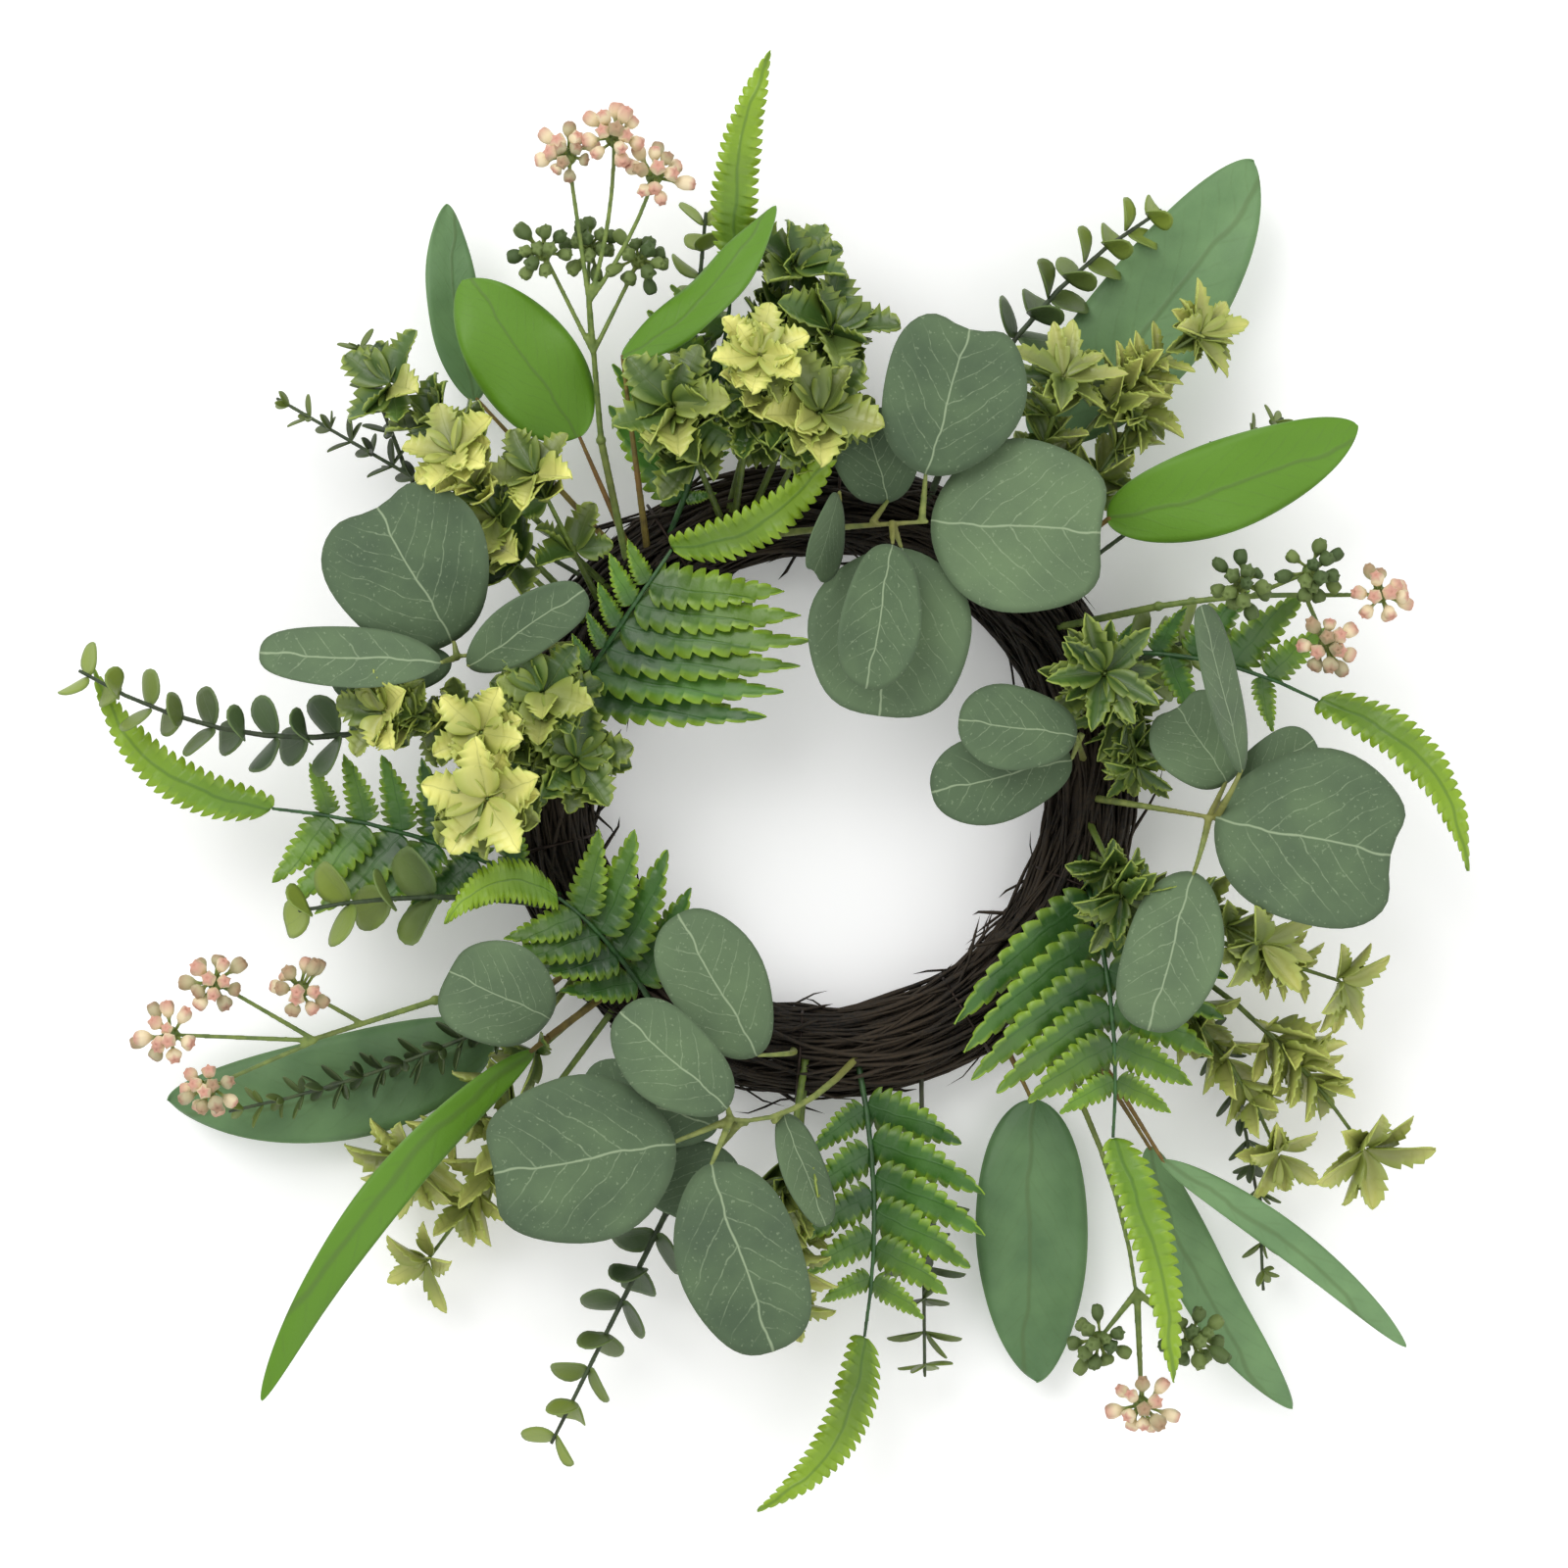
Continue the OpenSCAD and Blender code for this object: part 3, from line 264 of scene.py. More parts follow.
# Printed polyester cloth with a soft pressed rib: smooth, a little brighter where young
WILLOW_CLOTH = LeafFinish("willow_pressed_cloth", "#4d7044", "#729662", "#82a36d", "#578600",
                          "#4b5f2c", Print.SOFT, vein_share=0.4, edge_start=0.95, edge_share=0.4,
                          side_veins=11, slope=1.6, roughness=0.55, sheen=0.05)
# Injection moulded polyethylene sprayed lighter at its teeth: waxy and bright
FERN_PLASTIC = LeafFinish("fern_moulded_polyethylene", "#284f1d", "#477824", "#98b92f", "#8cae1b",
                          "#2c561f", Print.RIB, heart="#1b3d19", vein_share=0.4, edge_start=0.5,
                          edge_share=0.75, roughness=0.42)
# Injection moulded polyethylene, olive inside and creamy yellow where the spray reached
HOLLY_PLASTIC = LeafFinish("holly_moulded_polyethylene", "#2f4820", "#557430", "#abbd4a", "#ece986",
                           "#7f9140", Print.RIB, heart="#35501f", vein_share=0.25, edge_start=0.5,
                           edge_share=0.6, roughness=0.38)
# Injection moulded polyethylene dusted grey: dark and dull, lime at the sprig's end
PENNY_PLASTIC = LeafFinish("penny_leaf_moulded_polyethylene", "#2d3f27", "#4e643c", "#6c8446", "#8da03a",
                           "#5c7146", Print.RIB, vein_share=0.3, edge_start=0.8, edge_share=0.4,
                           roughness=0.5)
# Injection moulded polyethylene: small, hard and dark green
BOX_PLASTIC = LeafFinish("box_leaf_moulded_polyethylene", "#29361c", "#42542a", "#5b6f36", "#86993c",
                         "#52652f", Print.RIB, vein_share=0.3, edge_start=0.7, edge_share=0.35,
                         roughness=0.42)

# Dried vine, rough and almost black in the gaps
TWIG_BARK = BarkFinish("dried_vine_bark", "#0e0b06", "#2f2517", "#453724", 0.35, 0.85, streak=1.2 * MM)
# Annealed iron wire, dull and dark
IRON_WIRE = BarkFinish("annealed_iron_wire", "#2a2320", "#453a33", "#241d1a", 0.3, 0.5, 0.9,
                       relief=0.05 * MM)
# Plastic over a steel core, sprayed olive with browner stretches
SILVER_STEM = BarkFinish("silver_dollar_stem_coated_wire", "#68763a", "#8b954e", "#7c7138", 0.5)
WILLOW_STEM = BarkFinish("willow_stem_coated_wire", "#5f5226", "#80702f", "#7c4a22", 0.5)
FERN_STEM = BarkFinish("fern_stalk_moulded_polyethylene", "#20421f", "#36602c", "#27401f", 0.4, 0.45)
HOLLY_STEM = BarkFinish("holly_stem_moulded_polyethylene", "#4c6024", "#6c8032", "#4a5422", 0.4, 0.5)
PENNY_STEM = BarkFinish("penny_stem_moulded_polyethylene", "#28361f", "#3f5030", "#343722", 0.4, 0.55)
BOX_STEM = BarkFinish("box_stem_moulded_polyethylene", "#31402a", "#4a5833", "#3d3424", 0.5, 0.55)
BUD_STEM = BarkFinish("bud_stem_coated_wire", "#566d2e", "#788a40", "#68622e", 0.4, 0.55)


@dataclass(frozen=True)
class BudFinish:
    """Moulded foam buds: green or cream with a pink mouth, soft and without gloss."""

    name: str = "bud_moulded_foam"
    green: str = "#43582c"
    green_light: str = "#728445"
    cream: str = "#ead9b4"
    mouth: str = "#cf9a86"
    stalk: str = "#86964a"

    def material(self) -> bpy.types.Material:
        """Builds the buds' material, shaded from stalk to mouth. Returns it."""
        material, tree = new_material(self.name)
        place = add(tree, "TexCoord", {}, "Object")
        rim, tone, pink = [add(tree, "Attribute", {}, "Fac", attribute_name=name)
                           for name in ("rim", "tone", "young")]
        cloud = add(tree, "TexNoise", {"Vector": place, "Scale": 420.0, "Detail": 3.0})
        start = add(tree, "Math", {0: tone, 1: -0.35, 2: 0.9}, operation="MULTIPLY_ADD")
        flush = add(tree, "MapRange", {0: rim, 1: start, 2: 1.0})
        body = add(tree, "MapRange", {0: rim, 1: 0.3, 2: 0.5})
        green, blush = [add(tree, "Mix", {0: share, 6: linear(low), 7: linear(high)}, 2, data_type="RGBA")
                        for share, low, high in ((tone, self.green, self.green_light),
                                                 (flush, self.cream, self.mouth))]
        head = add(tree, "Mix", {0: pink, 6: green, 7: blush}, 2, data_type="RGBA")
        colour = add(tree, "Mix", {0: body, 6: linear(self.stalk), 7: head}, 2, data_type="RGBA")
        bump = add(tree, "Bump", {"Height": cloud, "Strength": 0.4, "Distance": 0.2 * MM})
        shader = add(tree, "BsdfPrincipled", {"Base Color": colour, "Roughness": 0.7, "Normal": bump})
        add(tree, "OutputMaterial", {0: shader})
        return material


# ---------------------------------------------------------------- meshes

@dataclass
class Surface:
    """A mesh as arrays.

    It holds points (n, 3), quads (m, 4), flat, which is each point's place on the flat
    leaf as (along, across), and one value of each named attribute for each point.
    """

    points: Array
    quads: Array
    flat: Array
    values: dict[str, Array] = field(default_factory=dict)


def body_of(node: str) -> str:
    """Returns the name of the body that a node of the frame belongs to."""
    bodies = frame["record"]["behaviour"]["bodies"]
    return next(body for body, nodes in bodies.items() if node in nodes)


def add_piece(name: str, surface: Surface, node: str,
              material: bpy.types.Material) -> bpy.types.Object:
    """Makes a finished piece that stands for one node of the frame.

    Args:
        name: The piece's name.
        surface: Its mesh.
        node: The node that it replaces and whose body it rides on.
        material: Its material.
    Returns:
        The piece's object.
    """
    mesh = bpy.data.meshes.new(name)
    mesh.from_pydata(surface.points.tolist(), [], surface.quads.tolist())
    corner = surface.quads.ravel()
    layer = mesh.uv_layers.new(name="leaf")
    layer.data.foreach_set("uv", surface.flat[corner].astype(np.float32).ravel())
    for key, value in surface.values.items():
        attribute = mesh.attributes.new(key, "FLOAT", "POINT")
        attribute.data.foreach_set("value", value.astype(np.float32).ravel())
    mesh.polygons.foreach_set("use_smooth", np.ones(len(surface.quads), bool))
    close_poles(mesh)
    return finish_piece(bpy.data.objects.new(name, mesh), node, material)


def close_poles(mesh: bpy.types.Mesh) -> None:
    """Merges points that lie on one another, at tips and hearts, and drops emptied faces.

    Args:
        mesh: The mesh, which is changed in place.
    """
    work = bmesh.new()
    work.from_mesh(mesh)
    bmesh.ops.remove_doubles(work, verts=work.verts, dist=0.002 * MM)
    work.to_mesh(mesh)
    work.free()
    mesh.update()


def finish_piece(piece: bpy.types.Object, node: str,
                 material: bpy.types.Material) -> bpy.types.Object:
    """Dresses a piece, puts it in the scene and in place of a node.

    Args:
        piece: The piece.
        node: The node that it replaces and whose body it rides on.
        material: Its material.
    Returns:
        The piece.
    """
    piece.data.materials.clear()
    piece.data.materials.append(material)
    bpy.context.scene.collection.objects.link(piece)
    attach(piece, body_of(node))
    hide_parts(node)
    LOG.info("%s: %d faces in place of %s", piece.name, len(piece.data.polygons), node)
    return piece


def thicken(piece: bpy.types.Object, thickness: float) -> None:
    """Gives an open sheet a thickness on both sides of its surface.

    Args:
        piece: The sheet.
        thickness: Its whole thickness.
    """
    wall = piece.modifiers.new("thickness", "SOLIDIFY")
    wall.thickness = thickness
    wall.offset = 0
    wall.use_even_offset = False


def welded(node: str) -> tuple[Array, Array]:
    """Reads a node's solid and merges its doubles.

    Args:
        node: The node's name.
    Returns:
        Its points (n, 3) and triangles (m, 3).
    """
    mesh = frame["nodes"][node].data
    mesh.calc_loop_triangles()
    points = np.zeros(len(mesh.vertices) * 3)
    mesh.vertices.foreach_get("co", points)
    triangles = np.zeros(len(mesh.loop_triangles) * 3, int)
    mesh.loop_triangles.foreach_get("vertices", triangles)
    rounded = np.round(points.reshape(-1, 3) / (0.01 * MM)).astype(int)
    kept, first, place = np.unique(rounded, axis=0, return_index=True, return_inverse=True)
    merged = place.reshape(-1)[triangles.reshape(-1, 3)]
    real = (merged[:, 0] != merged[:, 1]) & (merged[:, 1] != merged[:, 2]) & (merged[:, 2] != merged[:, 0])
    return points.reshape(-1, 3)[first], merged[real]


def islands(node: str) -> list[tuple[Array, Array]]:
    """Splits a node into its solids.

    Every point takes the lowest label among the triangles round it until none changes.

    Args:
        node: The node's name.
    Returns:
        Each solid's points and triangles.
    """
    points, triangles = welded(node)
    label = np.arange(len(points))
    while True:
        lowest = label[triangles].min(1)
        new = label.copy()
        for corner in range(3):
            np.minimum.at(new, triangles[:, corner], lowest)
        if (new == label).all():
            break
        label = new
    found = []
    for one in np.unique(label[triangles[:, 0]]):
        own = triangles[label[triangles[:, 0]] == one]
        used, place = np.unique(own, return_inverse=True)
        found.append((points[used], place.reshape(-1, 3)))
    return found


def unit(vectors: Array) -> Array:
    """Scales vectors along the last axis to a length of one."""
    return vectors / np.linalg.norm(vectors, axis=-1, keepdims=True)


@dataclass
class Blades:
    """The places of a node's leaves, one row for each leaf.

    A leaf's middle line runs from base to tip on a parabola whose middle stands bow off
    the straight line, side is the way across it and half is half of its greatest width.
    """

    base: Array
    tip: Array
    bow: Array
    side: Array
    half: Array

    @property
    def length(self) -> Array:
        """The straight length of each leaf."""
        return np.linalg.norm(self.tip - self.base, axis=1)

    def chosen(self, which: Array) -> "Blades":
        """Returns the leaves for which a mask is true."""
        return Blades(self.base[which], self.tip[which], self.bow[which], self.side[which],
                      self.half[which])

    def grown(self, width: float, length: float) -> "Blades":
        """Returns the same leaves with their widths and lengths multiplied."""
        tip = self.base + (self.tip - self.base) * length
        return Blades(self.base, tip, self.bow * length, self.side, self.half * width)

    def with_twins(self, rng: np.random.Generator, size: float, swing: tuple[float, float]) -> "Blades":
        """Adds a smaller leaf beside each one.

        The twin starts at the same base, and its chord is the first one's turned in the
        leaf's plane by an angle from the swing's range and tipped out of it.

        Args:
            rng: The source of their differences.
            size: The twin's size against the first.
            swing: Least and greatest turn in degrees.
        Returns:
            Both sets of leaves.
        """
        count = len(self.half)
        angle = np.radians(rng.uniform(*swing, (count, 1))) * rng.choice([-1, 1], (count, 1))
        chord = self.tip - self.base
        normal = unit(np.cross(chord, self.side))
        across = unit(np.cross(normal, chord)) * self.length[:, None]
        turned = chord * np.cos(angle) + across * np.sin(angle)
        turned = turned + normal * self.length[:, None] * rng.uniform(-0.35, 0.5, (count, 1))
        turned = unit(turned) * self.length[:, None] * size * rng.uniform(0.8, 1.15, (count, 1))
        side = unit(np.cross(unit(normal + rng.normal(0, 0.25, normal.shape)), turned))
        pairs = ((self.base, self.base + turned * 0.05), (self.tip, self.base + turned),
                 (self.bow, self.bow * 0), (self.side, side), (self.half, self.half * size))
        return Blades(*[np.concatenate(pair) for pair in pairs])

    def with_skirt(self, rng: np.random.Generator, size: float, drop: float) -> "Blades":
        """Adds a leaf under each one, on the stem's other side and lower.

        Args:
            rng: The source of their differences.
            size: The lower leaf's size against the first.
            drop: How much lower it lies.
        Returns:
            Both sets of leaves.
        """
        both = self.with_twins(rng, size, (80, 160))
        lower = np.arange(len(both.half)) >= len(self.half)
        down = lower[:, None] * np.array([0.0, 0.0, drop])
        return Blades(both.base - down, both.tip - down, both.bow, both.side, both.half)

    def place(self, along: Array, across: Array, height: Array) -> Array:
        """Carries flat leaf shapes into space.

        A point is the middle line at its share of the length, plus its distance across
        times side, plus its height times the line's own upward normal.

        Args:
            along: Shares of the length, (leaves, points).
            across: Distances from the middle line, (leaves, points).
            height: Heights over the leaf's plane, (leaves, points).
        Returns:
            The points, (leaves, points, 3).
        """
        share = along[..., None]
        chord = (self.tip - self.base)[:, None]
        bow = self.bow[:, None]
        middle = self.base[:, None] + chord * share + bow * 4 * share * (1 - share)
        forward = unit(chord + bow * 4 * (1 - 2 * share))
        side = np.broadcast_to(self.side[:, None], forward.shape)
        normal = unit(np.cross(forward, side))
        return middle + side * across[..., None] + normal * height[..., None]


def blade_rails(points: Array, triangles: Array) -> tuple[Array, Array, Array]:
    """Finds the two long edges of a leaf's upper face.

    The upper face is the part whose triangles look along the direction that most of the
    solid's area faces. Its outline's shortest edge is the tip, and half way round is the base.

    Args:
        points: The solid's points.
        triangles: The solid's triangles.
    Returns:
        The left edge and the right edge, each from base to tip, and the upward normal.
    """
    corners = points[triangles]
    cross = np.cross(corners[:, 1] - corners[:, 0], corners[:, 2] - corners[:, 0])
    area = np.linalg.norm(cross, axis=1)
    cross = cross[area > 0]
    triangles = triangles[area > 0]
    facing = unit(cross)
    normal = np.linalg.eigh((cross[:, :, None] * facing[:, None]).sum(0))[1][:, 2]
    normal = normal * (1 if normal[2] >= 0 else -1)
    upper = triangles[facing @ normal > 0.5]
    edges = np.concatenate([upper[:, [0, 1]], upper[:, [1, 2]], upper[:, [2, 0]]])
    after = {int(a): int(b) for a, b in edges if not ((edges == [b, a]).all(1)).any()}
    loop = [next(iter(after))]
    while after[loop[-1]] != loop[0]:
        loop.append(after[loop[-1]])
    ring = points[loop]
    gaps = np.linalg.norm(np.roll(ring, -1, axis=0) - ring, axis=1)
    ring = np.roll(ring, -int(gaps.argmin()) - 1, axis=0)
    count = len(ring) // 2
    return ring[:count][::-1], ring[count:], normal


def blades_of(node: str) -> Blades:
    """Reads the places of the leaves in a node.

    Args:
        node: The node's name.
    Returns:
        The places, in a steady order.
    """
    rows = []
    for points, triangles in islands(node):
        left, right, normal = blade_rails(points, triangles)
        middle = (left + right) / 2 - normal * 0.25 * MM
        chord = middle[-1] - middle[0]
        share = ((middle - middle[0]) @ chord / (chord @ chord))[:, None]
        weight = 4 * share * (1 - share)
        bow = (weight * (middle - middle[0] - chord * share)).sum(0) / (weight ** 2).sum()
        side = np.cross(normal, chord)
        half = np.linalg.norm(left - right, axis=1).max() / 2
        rows.append(np.concatenate([middle[0], middle[-1], bow, side / np.linalg.norm(side), [half]]))
    table = np.array(rows)
    table = table[np.lexsort((table[:, 1].round(4), table[:, 0].round(4)))]
    return Blades(table[:, 0:3], table[:, 3:6], table[:, 6:9], table[:, 9:12], table[:, 12])


def grid_quads(rows: int, columns: int, copies: int, closed: bool = False) -> Array:
    """Numbers the quads of copies of a grid.

    Args:
        rows: Points along each grid.
        columns: Points across it.
        copies: How many grids follow one another.
        closed: Whether the last column joins the first.
    Returns:
        The quads, (n, 4).
    """
    r, c = np.meshgrid(np.arange(rows - 1), np.arange(columns if closed else columns - 1), indexing="ij")
    step = (c + 1) % columns
    low, high = r * columns, (r + 1) * columns
    one = np.stack([low + c, low + step, high + step, high + c], -1)
    return (one.reshape(1, -1, 4) + np.arange(copies)[:, None, None] * rows * columns).reshape(-1, 4)


def swell(share: Array, base_power: float, tip_power: float) -> Array:
    """An outline: share^base_power times (1 - share)^tip_power, scaled to peak at one.

    Args:
        share: Shares of the length.
        base_power: How slowly it widens from the base.
        tip_power: How slowly it widens from the tip.
    Returns:
        Shares of the half width.
    """
    peak = base_power / (base_power + tip_power)
    top = peak ** base_power * (1 - peak) ** tip_power
    return np.clip(share, 0, 1) ** base_power * np.clip(1 - share, 0, 1) ** tip_power / top


def leaf_surface(blades: Blades, along: Array, across: Array, height: Array, rim: Array, tone: Array,
                 quads: Array) -> Surface:
    """Carries flat leaf shapes into space and gives each point its attributes.

    Args:
        blades: The leaves' places.
        along: Shares of the length, (leaves, rows, columns), as the next four are or spread to.
        across: Distances from the middle line.
        height: Heights over the leaf's plane, in the full shape.
        rim: Nearness to the edge.
        tone: Each leaf's own lightness.
        quads: The quads.
    Returns:
        The leaves as one surface.
    """
    along, across, rim, tone = [np.broadcast_to(one, height.shape) for one in (along, across, rim, tone)]
    spots = (len(blades.half), -1)
    points = blades.place(along.reshape(spots), across.reshape(spots), height.reshape(spots))
    flat = np.stack([along, across / blades.length[:, None, None] + 0.5], -1)
    values = {"rim": rim.ravel(), "tone": tone.ravel(), "young": np.zeros(rim.size),
              "root": np.zeros(rim.size)}
    return Surface(points.reshape(-1, 3), quads, flat.reshape(-1, 2), values)


@dataclass(frozen=True)
class StripShape:
    """A leaf drawn as rows from its base to its tip, with teeth along both edges.

    Between two teeth the edge falls back and then climbs to the next point, so it takes
    four rows for each tooth.
    """

    teeth: int = 0
    rows: int = 24
    columns: int = 5
    base_power: float = 0.6
    tip_power: float = 0.7
    tooth_depth: float = 0.2
    tooth_start: float = 0.0
    tooth_fall: tuple[float, ...] = (1.0, 0.72, 0.34, 0.0)
    base_share: float = 0.12
    fold: float = 0.1
    curl: float = 0.0
    ripple: float = 0.0
    ripples: float = 3.0
    sweep: float = 0.0

    def shares(self) -> tuple[Array, Array]:
        """Returns the rows' shares of the length and how far each one falls back between teeth."""
        if not self.teeth:
            even = np.linspace(0, 1, self.rows)
            return 0.5 - 0.5 * np.cos(even * math.pi), np.zeros(self.rows)
        phase = np.array([0.02, 0.3, 0.62, 0.96])
        fall = np.array(self.tooth_fall)
        share = (np.arange(self.teeth)[:, None] + phase).ravel() / self.teeth
        drop = np.tile(fall, self.teeth) * (share > self.tooth_start)
        return np.append(share, 1.0), np.append(drop, 0.0)

    def surface(self, blades: Blades, rng: np.random.Generator, lean: Array | None = None) -> Surface:
        """Builds all leaves of a node.

        Args:
            blades: The leaves' places.
            rng: The source of their differences.
            lean: The way each leaf's tip is swept, -1 or 1 along its side.
        Returns:
            The leaves as one surface.
        """
        count = len(blades.half)
        share, drop = self.shares()
        columns = np.linspace(-1, 1, self.columns)
        wide = np.maximum(swell(share, self.base_power, self.tip_power), self.base_share * (1 - share))
        wide = wide * (1 - self.tooth_depth * drop)
        u = np.broadcast_to(share[None, :, None], (count, len(share), self.columns))
        v = np.broadcast_to(columns[None, None], u.shape)
        half = blades.half[:, None, None]
        length = blades.length[:, None, None]
        phase = rng.uniform(0, TURN, (count, 1, 1))
        fold = self.fold * rng.uniform(0.3, 1.4, (count, 1, 1))
        curl = self.curl * rng.uniform(0.2, 1.6, (count, 1, 1))
        way = (lean if lean is not None else rng.choice([-1.0, 1.0], count))[:, None, None]
        across = half * wide[None, :, None] * v + way * self.sweep * length * u ** 2
        height = (np.abs(v) * wide[None, :, None] * half * fold - curl * half * v ** 2 * wide[None, :, None]
                  + self.ripple * half * v ** 2 * np.sin(TURN * self.ripples * u + phase + v * 1.3))
        tone = rng.uniform(0.15, 0.85, (count, 1, 1))
        return leaf_surface(blades, u, across, height, np.abs(v), tone,
                            grid_quads(len(share), self.columns, count))


@dataclass(frozen=True)
class RoundShape:
    """A round leaf drawn as rings about its heart.

    The outline runs once round: its share of the length is half plus half the cosine of the
    angle, less a notch that dies away from the tip, and its width follows swell().
    """

    spokes: int = 48
    rings: int = 8
    heart: float = 0.55
    base_power: float = 0.5
    tip_power: float = 0.32
    notch: float = 0.06
    notch_width: float = 0.3
    cup: float = 0.08
    wave: float = 0.05

    def surface(self, blades: Blades, rng: np.random.Generator) -> Surface:
        """Builds all leaves of a node.

        Args:
            blades: The leaves' places.
            rng: The source of their differences.
        Returns:
            The leaves as one surface.
        """
        count = len(blades.half)
        angle = np.linspace(0, TURN, self.spokes, endpoint=False)
        ring = np.linspace(0, 1, self.rings + 1) ** 0.8
        share = 0.5 + 0.5 * np.cos(angle)
        near = np.minimum(angle, TURN - angle)
        broad = smooth_step(blades.half / blades.length, 0.36, 0.46)[:, None, None]
        notch = (self.notch * broad * rng.uniform(0, 1.5, (count, 1, 1))
                 * np.exp(-(near / self.notch_width) ** 2)[None, None])
        wide = swell(share, self.base_power, self.tip_power) * np.sign(np.sin(angle) + 1e-9)
        t = ring[None, :, None]
        u = self.heart + t * (share[None, None] - notch - self.heart)
        half = blades.half[:, None, None]
        uneven = 1 + 0.05 * np.sin(angle * 3 + rng.uniform(0, TURN, (count, 1, 1)))
        across = t * wide[None, None] * half * uneven
        lift = self.cup * rng.uniform(-0.6, 1.4, (count, 1, 1))
        wave = self.wave * rng.uniform(0.3, 1.3, (count, 1, 1))
        bend = np.sin(angle * 2 + rng.uniform(0, TURN, (count, 1, 1)))
        height = half * (lift * (across / half) ** 2 + wave * t ** 2 * bend)
        tone = rng.uniform(0.2, 0.9, (count, 1, 1))
        return leaf_surface(blades, u, across, height, t, tone,
                            grid_quads(len(ring), self.spokes, count, closed=True))


def smooth_step(value: Array, low: float, high: float) -> Array:
    """Rises smoothly from 0 at low to 1 at high."""
    t = np.clip((value - low) / (high - low), 0, 1)
    return t * t * (3 - 2 * t)


def joined(parts: list[Surface]) -> Surface:
    """Joins surfaces into one.

    Args:
        parts: The surfaces, all with the same attributes.
    Returns:
        The one surface.
    """
    starts = np.cumsum([0] + [len(part.points) for part in parts[:-1]])
    return Surface(np.concatenate([part.points for part in parts]),
                   np.concatenate([part.quads + start for part, start in zip(parts, starts)]),
                   np.concatenate([part.flat for part in parts]),
                   {key: np.concatenate([part.values[key] for part in parts]) for key in parts[0].values})


# ---------------------------------------------------------------- sprays

@dataclass
class LeafSprays:
    """What all kinds of leafy sprays share: each group's leaves are one piece of one finish."""

    node: str
    ending: str
    slot: str
    finish: LeafFinish
    first_seed: int
    thickness: float
    groups: tuple[str, ...]

    def surface(self, group: str, blades: Blades, rng: np.random.Generator) -> Surface:
        """Builds a group's leaves.

        Args:
            group: The group's name.
            blades: Its leaves' places.
            rng: The source of their differences.
        Returns:
            The leaves as one surface.
        """
        raise NotImplementedError

    def build(self) -> None:
        """Builds each group's leaves and gives them their thickness."""
        material = self.finish.material()
        for seed, group in enumerate(self.groups, self.first_seed):
            node = f"{self.node}_{group}"
            surface = self.surface(group, blades_of(node), np.random.default_rng(seed))
            piece = add_piece(f"{node}_{self.ending}", surface, node, material)
            thicken(piece, self.thickness)


def outermost(surface: Surface, depth: float) -> Array:
    """Finds the end of a sprig.

    Args:
        surface: The sprig's leaves.
        depth: How long the end is.
    Returns:
        For each point a value that rises from 0 to 1 over the last depth before the point
        farthest from the ring's centre.
    """
    reach = np.linalg.norm(surface.points[:, :2], axis=1)
    return smooth_step(reach, reach.max() - depth, reach.max())


@dataclass
class SilverDollar(LeafSprays):
    """Broad round leaves of printed cloth, some with a notch at the tip, with painted shade darkening the leaves
    that lie low.
    """

    node: str = "silver_dollar_leaves"
    ending: str = "cloth"
    slot: str = "silver_dollar_leaf"
    finish: LeafFinish = SILVER_CLOTH
    first_seed: int = 100
    thickness: float = 0.35 * MM
    groups: tuple[str, ...] = ("top", "left", "bottom", "right")
    # Painted shade: leaves lying lower than lit_over turn part way to the shade colour, most below darkest_under
    darkest_under: float = 48 * MM
    lit_over: float = 66 * MM
    shape: RoundShape = RoundShape(tip_power=0.4, notch=0.07)

    def surface(self, group: str, blades: Blades, rng: np.random.Generator) -> Surface:
        """Builds a group's leaves and paints shade on the low ones.

        Args:
            group: The group's name.
            blades: Its leaves' places.
            rng: The source of their differences.
        Returns:
            The leaves as one surface.
        """
        surface = self.shape.surface(blades, rng)
        # Painted shade on the lower leaves, carried by the root value that the material mixes to the shade colour
        lit = smooth_step(surface.points[:, 2], self.darkest_under, self.lit_over)
        surface.values["root"] = 0.45 * (1 - lit)
        return surface


@dataclass
class Willow(LeafSprays):
    """Long cloth leaves: blue-green ones lie low, and fresh green ones stand over them."""

    node: str = "willow"
    ending: str = "cloth"
    slot: str = "willow_leaf"
    finish: LeafFinish = WILLOW_CLOTH
    first_seed: int = 200
    thickness: float = 0.35 * MM
    groups: tuple[str, ...] = ("leaves_top_right", "leaves_top_left", "leaves_bottom_left",
                               "leaves_bottom_right", "leaf_right", "leaf_lower_left")
    fresh_over: float = 34 * MM
    freshness: float = 0.95
    shape: StripShape = StripShape(rows=44, columns=11, base_power=0.5, tip_power=0.62, base_share=0.08,
                                   fold=0.12, curl=0.1, ripple=0.09, ripples=2.2, sweep=0.045)

    def surface(self, group: str, blades: Blades, rng: np.random.Generator) -> Surface:
        """Builds a group's leaves and shades them.

        Args:
            group: The group's name.
            blades: Its leaves' places.
            rng: The source of their differences.
        Returns:
            The leaves as one surface.
        """
        surface = self.shape.surface(blades, rng)
        each = len(surface.points) // len(blades.half)
        surface.values["young"] = np.repeat((blades.base[:, 2] > self.fresh_over) * self.freshness, each)
        return surface


